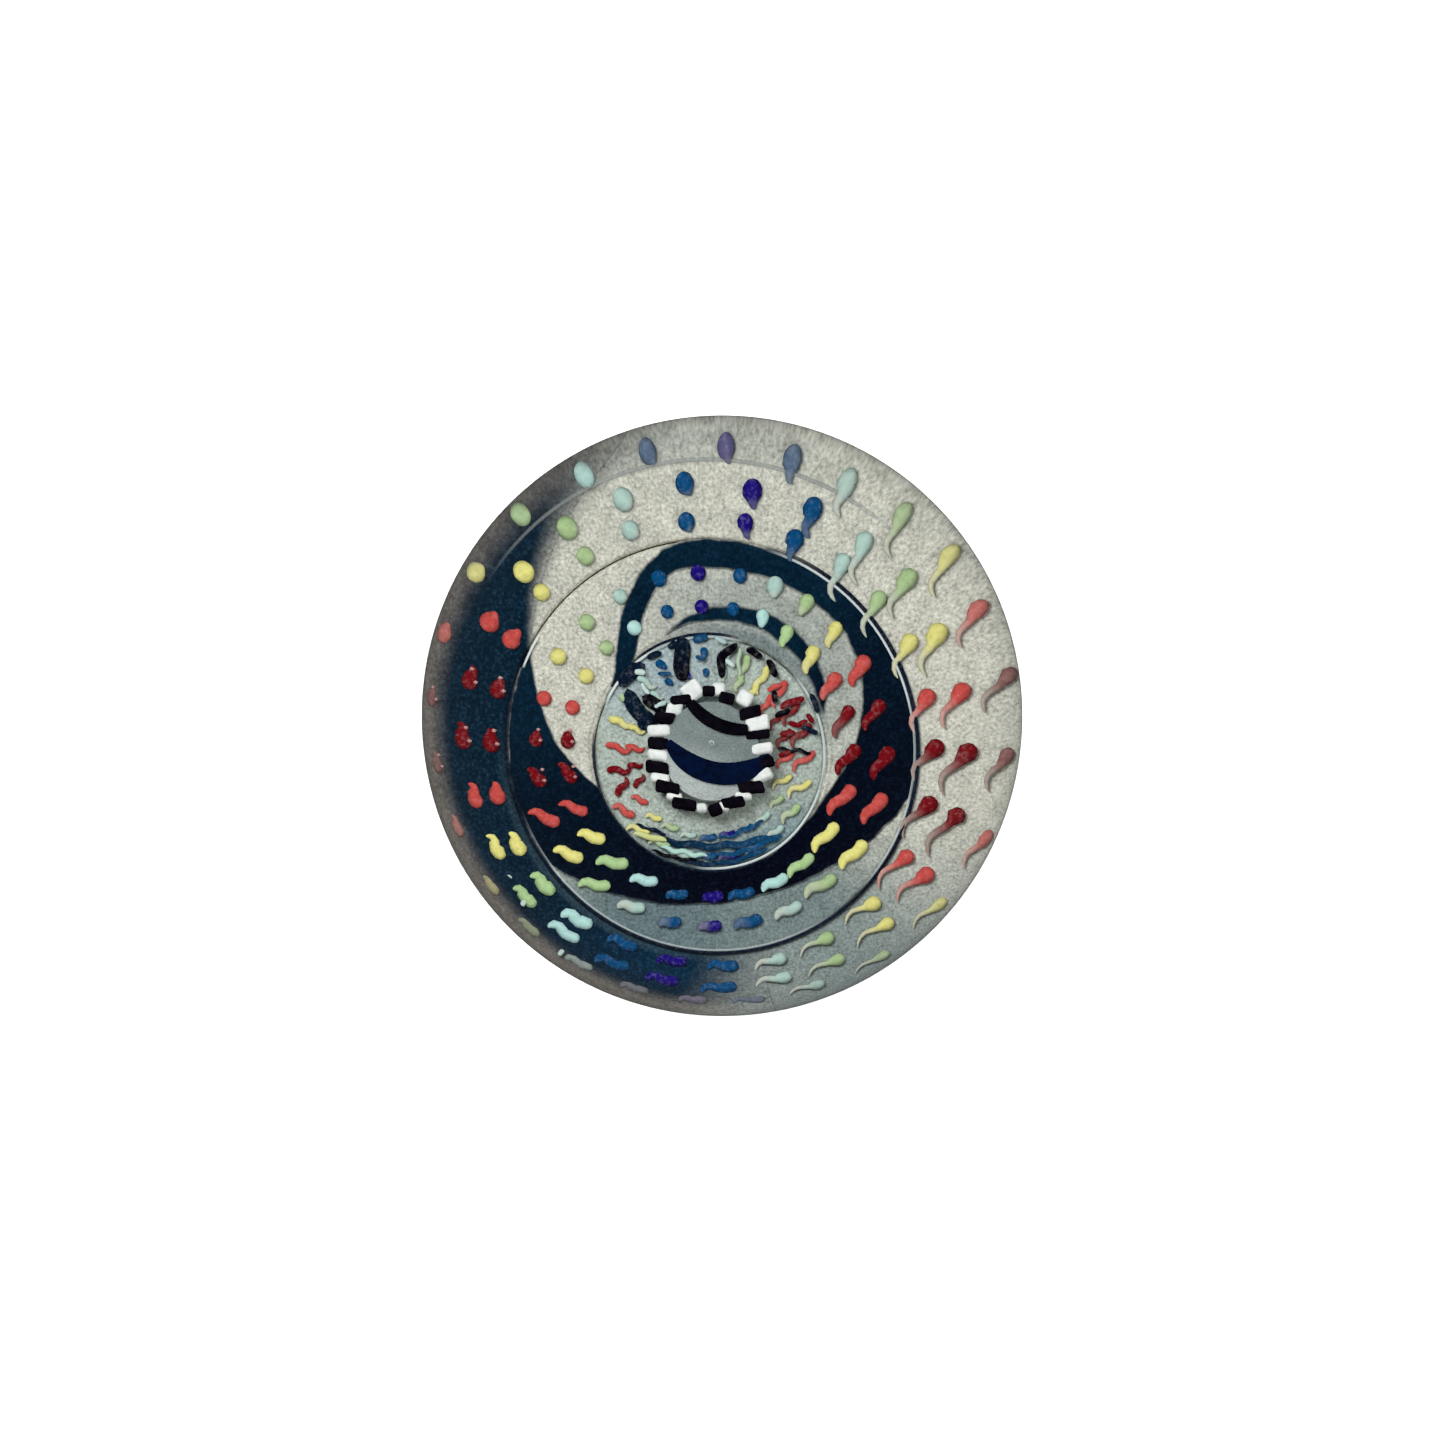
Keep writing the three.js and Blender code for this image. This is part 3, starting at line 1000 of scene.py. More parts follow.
# ---- ground ----------------------------------------------------------------------------------
@dataclass
class Ground:
    """The opaque cushion and the three tiers of pale glass on it."""

    edge_round: float = 0.35
    edge_steps: int = 4
    joint: float = 0.04
    swell: float = 0.75
    swell_radius: float = 5.4
    swell_steps: int = 5
    cushion_edge: float = 1.2
    cushion_steps: int = 14
    cushion_glass: Finish = PlainGlass("cushion_glass", PALE, linear(14, 58, 88), cloud_scale=0.1)

    def build(self) -> dict[Tier, bpy.types.Material]:
        """Makes the cushion and the tiers.

        Returns:
            The finish of each tier, which its swirls share.
        """
        finishes = {tier: TIER_GLASS[tier]().material() for tier in Tier}
        self._cushion()
        self._ring(Tier.OUTER, MIDDLE_RIM, GROUND_RADIUS, finishes[Tier.OUTER])
        self._ring(Tier.MIDDLE, INNER_RIM, MIDDLE_RIM, finishes[Tier.MIDDLE])
        self._inner(finishes[Tier.INNER])
        return finishes

    def _cushion(self) -> None:
        """The bowl-shaped cushion under the tiers."""
        low, high = box_mm("ground_cushion")
        edge_z = high.z - self.cushion_edge
        belly = arc(1.0, -90.0, 0.0, self.cushion_steps)
        profile = [(r * GROUND_RADIUS, edge_z + z * (edge_z - low.z)) for r, z in belly]
        profile[0] = (0.0, low.z)
        profile += [(GROUND_RADIUS, GROUND_BASE_Z), (0.0, GROUND_BASE_Z)]
        cushion = Piece("ground_cushion_glass", turned(profile), ["ground_cushion"], "ground_cushion")
        cushion.finished(self.cushion_glass.material())

    def _ring(self, tier: Tier, inner: float, outer: float, finish: bpy.types.Material) -> None:
        """One ring-shaped tier with rounded shoulders.

        Args:
            tier: which tier.
            inner: the radius of the joint inside it.
            outer: the radius of the joint outside it.
            finish: its material.
        """
        r = self.edge_round
        low = inner + self.joint
        high = outer - self.joint
        profile = [
            (low, GROUND_BASE_Z),
            (high, GROUND_BASE_Z),
            *arc(r, 0.0, 90.0, self.edge_steps, (high - r, GROUND_Z - r)),
            *arc(r, 90.0, 180.0, self.edge_steps, (low + r, GROUND_Z - r)),
            (low, GROUND_BASE_Z),
        ]
        node = f"{tier.value}_ground"
        Piece(f"{node}_glass", turned(profile), [node], "pale_ground").finished(finish)

    def _inner(self, finish: bpy.types.Material) -> None:
        """The inner tier, which swells up under the eye.

        Args:
            finish: its material.
        """
        r = self.edge_round
        rim = INNER_RIM - self.joint
        shares = [i / self.swell_steps for i in range(self.swell_steps + 1)]
        swell = [(self.swell_radius * (1 - i), GROUND_Z + self.swell * rise(i, -0.2, 1.0)) for i in shares]
        shoulder = arc(r, 0.0, 90.0, self.edge_steps, (rim - r, GROUND_Z - r))
        profile = [(0.0, GROUND_BASE_Z), (rim, GROUND_BASE_Z), *shoulder, *swell]
        Piece("inner_ground_glass", turned(profile), ["inner_ground"], "pale_ground").finished(finish)


# ---- swirls ----------------------------------------------------------------------------------
@dataclass
class Swirls:
    """The navy plates that stand a little proud of the tiers."""

    finishes: dict[Tier, bpy.types.Material]
    margin: float = 0.5
    crown: float = 0.1
    cell: float = 3.0
    fewest_cells: int = 12
    cells_across: int = 6
    outer_span: Stretch = Stretch(104, 284)
    middle_span: Stretch = Stretch(156, 500)
    crescent_span: Stretch = Stretch(386, 470)

    def build(self) -> None:
        """Makes each plate, with its tier's finish, which paints it navy and fades its ends."""
        crescent = SWIRL.crescent_inner, SWIRL.crescent_outer
        self._plate("outer_swirl", Tier.OUTER, self.outer_span, self._outer_low, self._outer_high)
        self._plate("middle_swirl", Tier.MIDDLE, self.middle_span, SWIRL.arm_inner, SWIRL.arm_outer)
        self._plate("crescent_swirl", Tier.MIDDLE, self.crescent_span, *crescent)

    def _outer_low(self, angle: float) -> float:
        """Inner edge of the outer plate."""
        return max(SWIRL.spiral(angle), MIDDLE_RIM + self.margin)

    def _outer_high(self, angle: float) -> float:
        """Outer edge of the outer plate, the same at every angle."""
        return GROUND_RADIUS - self.margin

    def _plate(
        self,
        node: str,
        tier: Tier,
        span: Stretch,
        inner: Callable[[float], float],
        outer: Callable[[float], float],
    ) -> None:
        """One plate between two polar curves.

        Args:
            node: the CAD node it stands for.
            tier: the tier it lies on.
            span: the angles where it starts and ends.
            inner: its inner edge's radius at an angle.
            outer: its outer edge's radius at an angle.
        """

        def place(along: float, across: float) -> Vector:
            """Where a point of the plate goes.

            Args:
                along: its share of the way along the plate.
                across: its share of the way across.

            Returns:
                The point.
            """
            angle = span.at(along)
            low = inner(angle)
            radius = Stretch(low, max(low, outer(angle))).at(across)
            return polar(angle, radius, SWIRL_Z + self.crown * hump(across, 0.0, 1.0))

        along = max(self.fewest_cells, round((span.high - span.low) / self.cell))
        mesh = bent_plate(place, along, self.cells_across)
        Piece(f"{node}_glass", mesh, [node], "navy_glass").finished(self.finishes[tier])


SOOT = linear(6, 4, 14)
INK = linear(6, 26, 46)
BLUE_INK = linear(18, 76, 116)
CRIMSON = linear(122, 14, 24)
FROST = linear(206, 230, 222)

UPPER_LEFT_INK = (
    Stroke((-6.9, 5.0), (-4.9, 6.7), 0.5, INK, 0.15),
    Stroke((-6.3, 4.9), (-4.0, 2.2), 0.62, INK, -0.5),
    Stroke((-5.2, 4.3), (-3.2, 3.0), 0.5, SOOT, 0.1),
    Stroke((-5.6, 2.3), (-4.2, 1.6), 0.25, INK),
    Stroke((-4.75, 7.1), (-3.6, 7.5), 0.24, INK, 0.1),
    Stroke((-6.1, 6.65), (-5.1, 6.6), 0.18, INK),
    Stroke((-3.15, 7.9), (-2.5, 8.4), 0.22, INK),
    Stroke((-2.1, 8.75), (-1.9, 5.5), 0.62, INK, -0.12, 0.1, 1.0, SOOT),
    Stroke((-1.3, 8.5), (-0.1, 8.8), 0.3, BLUE_INK),
)
LOWER_INK = (
    Stroke((-5.9, -5.5), (-3.4, -6.2), 0.16, INK, 0.0, 0.08, 2.0),
    Stroke((-4.4, -6.45), (5.6, -5.9), 0.3, INK, -0.85, 0.1, 4.0, BLUE_INK),
    Stroke((-4.6, -7.45), (-0.4, -8.25), 0.16, SOOT, -0.2, 0.07, 3.0),
    Stroke((-2.2, -8.3), (4.6, -7.0), 0.2, INK, -0.65, 0.06, 3.0, BLUE_INK),
    Stroke((0.3, -7.75), (5.6, -5.9), 0.22, BLUE_INK, -0.45, 0.1, 3.0),
    Stroke((0.6, -6.5), (4.4, -4.85), 0.17, BLUE_INK, -0.12, 0.12, 2.5),
)
ACCENTS = (
    Stroke((2.1, 8.3), (0.9, 5.7), 0.32, SOOT, -0.55, 0.12, 1.5),
    Stroke((2.75, 7.8), (4.0, 7.35), 0.26, SOOT, 0.05, 0.07, 1.0),
    Stroke((4.3, 7.1), (5.2, 5.9), 0.26, SOOT, 0.0, 0.08, 1.0),
    Stroke((4.9, 4.9), (5.0, 3.9), 0.22, SOOT),
    Stroke((7.6, 4.7), (8.2, 3.2), 0.22, INK, 0.1),
    Stroke((7.1, 2.1), (8.3, 1.8), 0.2, INK, 0.0, 0.06, 1.0),
    Stroke((5.2, 0.5), (7.8, 0.3), 0.16, SOOT, 0.0, 0.1, 2.0),
    Stroke((2.3, 8.0), (2.3, 5.9), 0.16, linear(182, 204, 176), -0.1, 0.05, 1.5),
    Stroke((1.2, 7.1), (1.9, 6.6), 0.2, FROST),
    Stroke((0.4, 8.7), (1.3, 8.3), 0.2, linear(176, 204, 204)),
    Stroke((-5.8, 6.1), (-4.9, 6.0), 0.24, FROST, 0.05),
    Stroke((-5.2, 5.3), (-4.6, 4.5), 0.18, FROST, -0.12),
    Stroke((-4.3, 3.5), (-3.3, 3.9), 0.2, FROST),
    Stroke((-4.0, 6.0), (-2.9, 6.0), 0.16, BLUE_INK),
    Stroke((-1.1, 7.3), (-0.3, 7.1), 0.16, BLUE_INK),
    Stroke((-3.9, -7.25), (-0.2, -7.9), 0.2, linear(186, 226, 214), -0.05, 0.1, 2.5),
    Stroke((-6.0, -6.2), (-3.4, -6.75), 0.24, linear(214, 222, 150), 0.0, 0.05, 1.5),
    Stroke((5.4, 3.5), (7.2, 4.4), 0.27, CRIMSON, 0.1, 0.08, 1.0),
    Stroke((5.0, 2.9), (6.1, 3.5), 0.2, SOOT, 0.0, 0.06, 1.0),
    Stroke((4.4, 4.8), (5.5, 5.3), 0.2, linear(208, 84, 78), 0.1),
    Stroke((5.9, 2.4), (7.5, 2.6), 0.2, CRIMSON, -0.1, 0.08, 1.5),
    Stroke((7.4, 3.2), (7.9, 2.5), 0.2, CRIMSON),
    Stroke((5.4, 1.5), (6.5, 1.9), 0.22, CRIMSON, 0.0, 0.08, 1.0),
    Stroke((5.3, -0.1), (6.3, 0.3), 0.2, CRIMSON, 0.1),
)


@dataclass
class InnerStrokes:
    """The strokes drawn over the inner tier: two groups of ink, and accents of every colour."""

    lift: float = 0.12
    glass: Finish = PaintedGlass("inner_stroke_glass", 0.28, 0.25)

    def build(self) -> None:
        """Makes each group of strokes as one piece."""
        finish = self.glass.material()
        self._group("inner_swirl_left_ink", UPPER_LEFT_INK, STROKE_Z, ["inner_swirl_left"], finish)
        self._group("inner_swirl_lower_ink", LOWER_INK, STROKE_Z, ["inner_swirl_lower"], finish)
        self._group("inner_accents", ACCENTS, STROKE_Z + self.lift, [], finish)

    def _group(
        self,
        name: str,
        strokes: Sequence[Stroke],
        z: float,
        replaced: Sequence[str],
        finish: bpy.types.Material,
    ) -> None:
        """One group of strokes.

        Args:
            name: the piece's name.
            strokes: what it holds.
            z: the height of the strokes.
            replaced: the CAD nodes it stands for.
            finish: its material.
        """
        mesh = painted_mesh()
        for stroke in strokes:
            stroke.add_to(mesh, z)
        Piece(name, mesh, replaced, "navy_glass").finished(finish)


@dataclass
class PaintedGlints:
    """Painted highlights: a few small white glints over the outer tier, some of them drawn out into streaks.
    """

    spots: tuple[Point, ...] = ((-16.3, -10.2), (-15.6, -12.7), (-13.2, -17.6))
    reaches: tuple[float, ...] = (0.2, 0.7, 1.2)
    drawn: Point = (0.6, 0.8)
    half: float = 0.22
    lift: float = 0.3
    glass: Finish = PaintedGlass("painted_glint_glass", 0.2, 0.1)

    def build(self) -> None:
        """Makes them as one piece."""
        mesh = painted_mesh()
        for (x, y), reach in zip(self.spots, self.reaches):
            end = (x + self.drawn[0] * reach, y + self.drawn[1] * reach)
            # Each glint is a short white stroke, a painted highlight.
            Stroke((x, y), end, self.half, FROST).add_to(mesh, DOT_Z + self.lift)
        Piece("painted_glints", mesh, [], "bubble").finished(self.glass.material())


# ---- threads on the joints -------------------------------------------------------------------
@dataclass(frozen=True)
class Gleam:
    """A stretch along which a thread shows: its middle, its half length and its strength."""

    middle: float
    reach: float
    strength: float
    even_share: float = 0.55

    def at(self, angle: float) -> float:
        """How strongly it shows at an angle."""
        away = abs(around(angle, self.middle))
        return self.strength * (1.0 - rise(away, self.even_share * self.reach, self.reach))


@dataclass
class Thread:
    """A ring on a joint that shows along some stretches only: bright, a painted highlight; dark, a painted
    shadow.
    """

    name: str
    radius: float
    girth: float
    colour: Rgb
    gleams: Sequence[Gleam]
    replaced: Sequence[str] = ()
    sides: int = 8
    turn_steps: int = 240

    def build(self, finish: bpy.types.Material) -> None:
        """Spins the thread's section and paints it.

        Args:
            finish: its material.
        """
        mesh = painted_mesh()
        upright = Matrix.Translation((self.radius, 0, THREAD_Z)) @ Matrix.Rotation(math.pi / 2, 4, "X")
        made = bmesh.ops.create_circle(mesh, segments=self.sides, radius=self.girth, matrix=upright)
        section = [*made["verts"], *{edge for vert in made["verts"] for edge in vert.link_edges}]
        spin_round(mesh, section, self.turn_steps)
        layer = mesh.verts.layers.float_color[PAINT]
        for vert in mesh.verts:
            angle = math.degrees(math.atan2(vert.co.y, vert.co.x))
            # Alpha by angle, so each painted highlight and painted shadow shows only along its own
            # stretches.
            vert[layer] = (*self.colour, min(1.0, sum(gleam.at(angle) for gleam in self.gleams)))
        Piece(self.name, mesh, self.replaced, "thread_glass").finished(finish)


@dataclass
class Threads:
    """Painted highlights and painted shadows along the joints between the tiers, and a faint line on the
    outer step.
    """

    highlight_colour: Rgb = linear(226, 236, 236)
    shadow_colour: Rgb = linear(6, 18, 34)
    faint: Rgb = linear(150, 156, 154)
    glass: Finish = PaintedGlass("thread_glass", 0.12, 0.1, see_through=True)

    def build(self) -> None:
        """Makes the threads."""
        finish = self.glass.material()
        # Painted highlights on the rims, and painted shadows just outside them, each along its own
        # stretches.
        middle_highlights = (Gleam(42, 34, 0.85), Gleam(-8, 34, 0.3), Gleam(151, 5, 0.9), Gleam(255, 60, 0.2))
        middle_shadows = (Gleam(12, 66, 0.9), Gleam(262, 88, 0.85), Gleam(180, 26, 0.6))
        inner_highlights = (Gleam(136, 20, 0.95), Gleam(306, 46, 0.85), Gleam(15, 30, 0.45), Gleam(98, 26, 0.3))
        inner_shadows = (Gleam(104, 30, 0.9), Gleam(205, 40, 0.8), Gleam(262, 40, 0.7))
        step = (Gleam(95, 50, 0.35),)
        threads = (
            Thread("middle_rim_highlight", MIDDLE_RIM - 0.1, 0.085, self.highlight_colour, middle_highlights, ["middle_rim"]),
            Thread("middle_rim_shadow", MIDDLE_RIM + 0.13, 0.12, self.shadow_colour, middle_shadows),
            Thread("inner_rim_highlight", INNER_RIM - 0.02, 0.1, self.highlight_colour, inner_highlights, ["inner_rim"]),
            Thread("inner_rim_shadow", INNER_RIM + 0.2, 0.09, self.shadow_colour, inner_shadows),
            Thread("outer_step_glass", OUTER_STEP, 0.1, self.faint, step, ["outer_step_rim"]),
        )
        for thread in threads:
            thread.build(finish)


# ---- enamel dots -----------------------------------------------------------------------------
class Enamel(Enum):
    """The seven colours of enamel."""

    INDIGO = linear(30, 14, 122)
    BLUE = linear(8, 78, 128)
    AQUA = linear(158, 224, 216)
    GREEN = linear(154, 204, 108)
    YELLOW = linear(240, 234, 118)
    CORAL = linear(208, 82, 76)
    RED = linear(124, 12, 22)


HALF_TURN = (*Enamel, *reversed(list(Enamel)[1:]))
# Colour of the painted highlights on the dark red dots.
PINK_HIGHLIGHT = linear(232, 176, 172)
CLEARNESS = {Enamel.AQUA: 0.5, Enamel.GREEN: 0.4, Enamel.YELLOW: 0.2}


def on_navy(angle: float, radius: float) -> bool:
    """Whether the navy lies under a point of the outer two tiers.

    Args:
        angle: the point's angle.
        radius: its distance from the axis.

    Returns:
        Whether it is on navy.
    """
    if radius > MIDDLE_RIM:
        turn = onwards(angle, OUTER_START)
        return radius > SWIRL.spiral(turn) and turn < OUTER_END
    turn = onwards(angle, MIDDLE_START)
    arm = SWIRL.arm_inner(turn) < radius < SWIRL.arm_outer(turn)
    return arm or SWIRL.crescent_inner(turn) < radius < SWIRL.crescent_outer(turn)


@dataclass(frozen=True)
class Trail:
    """How a dot trails at one angle of the motif.

    reach is the length of the tail from the head's centre, lean its turn inwards from the
    clockwise direction, neck its width as a share of the head's, blunt how long it keeps that
    width, and fade how much of its colour is lost at the tip.
    """

    angle: float
    reach: float
    lean: float
    neck: float
    blunt: float
    fade: float

    def towards(self, other: "Trail", part: float) -> "Trail":
        """A trail between this one and another."""
        return Trail(*(a + (b - a) * part for a, b in zip(astuple(self), astuple(other))))


OUTER_TRAILS = (
    Trail(-180, 1.3, 4, 0.95, 1.2, 0.05),
    Trail(-150, 1.5, 8, 0.95, 1.2, 0.05),
    Trail(-120, 2.2, 0, 0.9, 4.0, 0.05),
    Trail(-85, 2.4, 12, 0.75, 3.0, 0.15),
    Trail(-62, 2.9, 20, 0.4, 1.6, 0.45),
    Trail(-40, 3.3, 28, 0.42, 1.4, 0.5),
    Trail(-10, 3.5, 42, 0.5, 1.4, 0.5),
    Trail(28, 2.9, 66, 0.5, 1.4, 0.55),
    Trail(56, 2.7, 86, 0.55, 1.6, 0.4),
    Trail(68, 1.6, 90, 0.6, 2.0, 0.15),
    Trail(90, 0.9, 70, 0.6, 2.0, 0.15),
    Trail(125, 0.5, 30, 0.9, 2.0, 0.0),
    Trail(150, 1.0, 10, 0.95, 1.2, 0.0),
)
MIDDLE_TRAILS = (
    Trail(-159, 2.0, -36, 0.85, 2.0, 0.0),
    Trail(-125, 2.2, -22, 0.95, 4.0, 0.05),
    Trail(-90, 1.3, -4, 0.95, 4.0, 0.3),
    Trail(-70, 2.2, 6, 0.95, 4.0, 0.1),
    Trail(-30, 2.6, 25, 0.9, 4.0, 0.1),
    Trail(0, 2.3, 44, 0.7, 3.0, 0.2),
    Trail(28, 2.2, 72, 0.7, 3.0, 0.1),
    Trail(60, 1.1, 84, 0.8, 2.5, 0.05),
    Trail(90, 0.4, 60, 0.9, 2.0, 0.0),
    Trail(160, 0.4, 20, 0.9, 2.0, 0.0),
    Trail(180, 0.9, -10, 0.85, 2.0, 0.0),
)
INNER_TRAILS = (
    Trail(-150, 1.5, -20, 0.95, 4.0, 0.1),
    Trail(-120, 1.6, -12, 0.95, 4.0, 0.1),
    Trail(-80, 1.6, 8, 0.9, 4.0, 0.1),
    Trail(-40, 1.5, 12, 0.9, 4.0, 0.2),
    Trail(-10, 2.2, 62, 0.9, 4.0, 0.1),
    Trail(25, 2.2, 72, 0.9, 4.0, 0.1),
    Trail(60, 2.2, 100, 0.9, 4.0, 0.1),
    Trail(84, 0.6, 100, 0.9, 4.0, 0.1),
    Trail(120, 0.6, 60, 0.9, 4.0, 0.0),
    Trail(140, 1.7, 98, 0.9, 4.0, 0.0),
    Trail(165, 1.8, 104, 0.9, 4.0, 0.0),
    Trail(200, 1.5, 110, 0.9, 4.0, 0.0),
)


def trail_at(trails: Sequence[Trail], angle: float) -> Trail:
    """The trail at an angle, between the two given on either side of it.

    Args:
        trails: the trails round a ring, in order.
        angle: where on the ring.

    Returns:
        The trail there.
    """
    start = trails[0].angle
    turn = (angle - start) % 360.0
    marks = [(trail.angle - start) % 360.0 for trail in trails] + [360.0]
    i = max(number for number, mark in enumerate(marks[:-1]) if mark <= turn)
    part = (turn - marks[i]) / (marks[i + 1] - marks[i])
    return trails[i].towards(trails[(i + 1) % len(trails)], part)


@dataclass
class DotRing:
    """One ring of comma-shaped dots.

    inset is how far the middles of the dots lie inside the outer edge of the ring's CAD node.
    crowding pushes the even spacing round about crowd_middle, faded is how pale the dots are,
    veiled_by_reflection how much a painted reflection pales them besides at the lower left, squeeze
    how much nearer the axis they lie at the top and bottom, and slim how much thinner they are at the
    bottom. drawn is how many head radii a tail has when it starts and when it has fully grown its
    curl and wave. The fields that end in luck are how far dots differ from their rule in size,
    radius, angle and heading.
    """

    number: int
    indigo: float
    trails: Sequence[Trail]
    inset: float
    head: float
    reach: float
    crowding: float
    crowd_middle: float
    tail_curl: float = 35.0
    wave: float = 0.16
    faded: float = 0.0
    veiled_by_reflection: float = 0.0
    squeeze: float = 0.0
    slim: float = 0.0
    count: int = 26
    crowd_span: float = 85.0
    slim_span: Stretch = Stretch(190, 350)
    reflection_span: Stretch = Stretch(165, 300)
    drawn: Stretch = Stretch(1.2, 2.5)
    curl_start: float = 0.3
    fade_start: float = 0.6
    fade_end: float = 0.7
    size_luck: float = 0.1
    radius_luck: float = 0.01
    angle_luck: float = 0.6
    heading_luck: float = 5.0
    backing: float = 0.5
    thinnest: float = 0.04
    seed: int = 40
    # Painted highlights: pale pink drops on the dark red dots of the outer rings, near this angle.
    highlight_angle: float = 172.0
    highlight_reach: float = 28.0
    highlight_places: tuple[tuple[float, float, float], ...] = ((0.35, 1.2, 0.1), (0.45, -0.45, 0.55))
    highlight_length: float = 0.5
    highlight_half: float = 0.32
    highlight_tint: float = 0.15

    @property
    def radius(self) -> float:
        """Radius of the ring through the middles of the dots."""
        return outer_radius(f"dot_ring_{self.number}") - self.inset

    def build(self, finish: bpy.types.Material) -> None:
        """Makes the dots and the painted highlights on some of them as one piece.

        Args:
            finish: their material.
        """
        mesh = painted_mesh()
        luck = random.Random(self.seed + self.number)
        for i in range(self.count):
            even = self.indigo - 360.0 / self.count * i
            self._dot(mesh, even + self.crowding * self._crowd(even), HALF_TURN[i % len(HALF_TURN)], luck)
        Piece(f"enamel_dots_{self.number}", mesh, [f"dot_ring_{self.number}"], "enamel").finished(finish)

    def _crowd(self, angle: float) -> float:
        """How much the even spacing is pushed round at an angle."""
        away = min(1.0, abs(around(angle, self.crowd_middle)) / self.crowd_span)
        return math.cos(math.pi / 2 * away) ** 2

    def _dot(self, mesh: bmesh.types.BMesh, angle: float, enamel: Enamel, luck: random.Random) -> None:
        """One dot: a round head and its tail.

        Args:
            mesh: where it goes.
            angle: where on the ring it lies.
            enamel: its colour.
            luck: what makes each dot a little different.
        """

        def nearly(number: float, spread: float) -> float:
            """The number, a little more or less."""
            return number + luck.uniform(-spread, spread)

        trail = trail_at(self.trails, angle)
        slimmed = 1.0 - self.slim * self.slim_span.hump(angle % 360.0)
        head = self.head * nearly(1.0, self.size_luck) * slimmed
        reach = max(head, trail.reach * self.reach * nearly(1.0, self.size_luck))
        radius = self.radius + self.squeeze * math.cos(math.radians(2 * angle))
        start = polar(nearly(angle, self.angle_luck), radius * nearly(1.0, self.radius_luck), DOT_Z)
        heading = nearly(angle - 90.0 - trail.lean, self.heading_luck)
        drawn_out = share(reach, self.drawn.low * head, self.drawn.high * head)
        backed = on_navy(angle, radius)
        clearness = CLEARNESS.get(enamel, 0.0)
        ground = between(enamel.value, WHITE, self.backing) if backed else PALE
        colour = between(between(enamel.value, ground, clearness), PALE, self.faded)
        # Painted reflection: the dots pale towards the haze at the lower left.
        colour = between(colour, REFLECTION_HAZE, self.veiled_by_reflection * self.reflection_span.hump(angle % 360.0))
        tip = between(colour, PALE, 0.0 if backed else min(1.0, trail.fade + clearness))

        def away(along: float) -> float:
            """How far past the head's centre a share of the way along is."""
            return -head + (head + reach) * (0.5 - 0.5 * math.cos(math.pi * along))

        def line(along: float) -> Vector:
            """A point on the dot's middle, which curls and waves towards the tip.

            Args:
                along: the share of the way along the dot.

            Returns:
                The point.
            """
            gone = away(along)
            past = max(0.0, gone) / reach
            turn = math.radians(heading + drawn_out * self.tail_curl * (past - self.curl_start))
            side = Vector((-math.sin(turn), math.cos(turn), 0.0))
            wave = self.wave * drawn_out * reach * math.sin(math.tau * past) * trail.neck
            return start + gone * Vector((math.cos(turn), math.sin(turn), 0.0)) + wave * side

        def half_width(along: float) -> float:
            """Half the dot's width: its round head or its tail, whichever is wider.

            Args:
                along: the share of the way along the dot.

            Returns:
                The half width.
            """
            gone = away(along)
            bulb = math.sqrt(max(0.0, head * head - gone * gone))
            kept = math.sqrt(1.0 - share(gone, 0.0, reach) ** trail.blunt) if gone > 0 else 0.0
            return max(bulb, head * trail.neck * kept, self.thinnest)

        def paint(along: float) -> Rgb:
            """The dot's colour, which fades towards the tip."""
            return between(colour, tip, rise(away(along), self.fade_start * head, self.fade_end * reach))

        Blob(line, half_width, paint).add_to(mesh)
        # Painted highlights: pale drops on the dark red dots of the outer rings, on one side of the motif.
        near_highlights = abs(around(angle, self.highlight_angle)) < self.highlight_reach
        if enamel is Enamel.RED and self.radius > INNER_RIM and near_highlights:
            self._highlights(mesh, start, head, colour)

    def _highlights(self, mesh: bmesh.types.BMesh, start: Vector, head: float, colour: Rgb) -> None:
        """Two painted highlights on a dark red dot: small pale pink drops on its head.

        Args:
            mesh: where they go.
            start: the centre of the dot's head.
            head: the radius of the dot's head.
            colour: the dot's colour.
        """
        pink = between(PINK_HIGHLIGHT, colour, self.highlight_tint)
        for place in self.highlight_places:
            low = start + Vector(place) * head
            Blob(
                lambda along, low=low: low + Vector((0, self.highlight_length * head * along, 0)),
                lambda along: self.highlight_half * head * math.sin(math.pi * along),
                lambda along: pink,
                flatness=0.8,
                rings=6,
                sides=6,
            ).add_to(mesh)


@dataclass
class Dots:
    """The seven rings of dots."""

    glass: Finish = PaintedGlass("enamel", 0.28, 0.3)

    def build(self) -> None:
        """Makes the rings."""
        finish = self.glass.material()
        rings = (
            DotRing(1, 87.0, OUTER_TRAILS, 0.998, 0.62, 0.85, 12.0, 5.0, faded=0.2, veiled_by_reflection=0.7, squeeze=0.6),
            DotRing(2, 80.7, OUTER_TRAILS, 0.687, 0.68, 1.0, 4.3, 5.0, slim=0.12),
            DotRing(3, 81.4, OUTER_TRAILS, 0.747, 0.64, 0.9, 4.3, 5.0, slim=0.12),
            DotRing(4, 92.5, MIDDLE_TRAILS, 0.791, 0.58, 0.95, 8.2, 22.0, 24.0, 0.1, slim=0.22),
            DotRing(5, 93.0, MIDDLE_TRAILS, 0.646, 0.54, 0.9, 8.2, 22.0, 24.0, 0.1, slim=0.2),
            DotRing(6, 106.0, INNER_TRAILS, 0.398, 0.3, 0.95, 8.0, 20.0, 30.0, 0.14),
            DotRing(7, 106.0, INNER_TRAILS, 0.4, 0.26, 0.7, 8.0, 20.0, 30.0, 0.14),
        )
        for ring in rings:
            ring.build(finish)


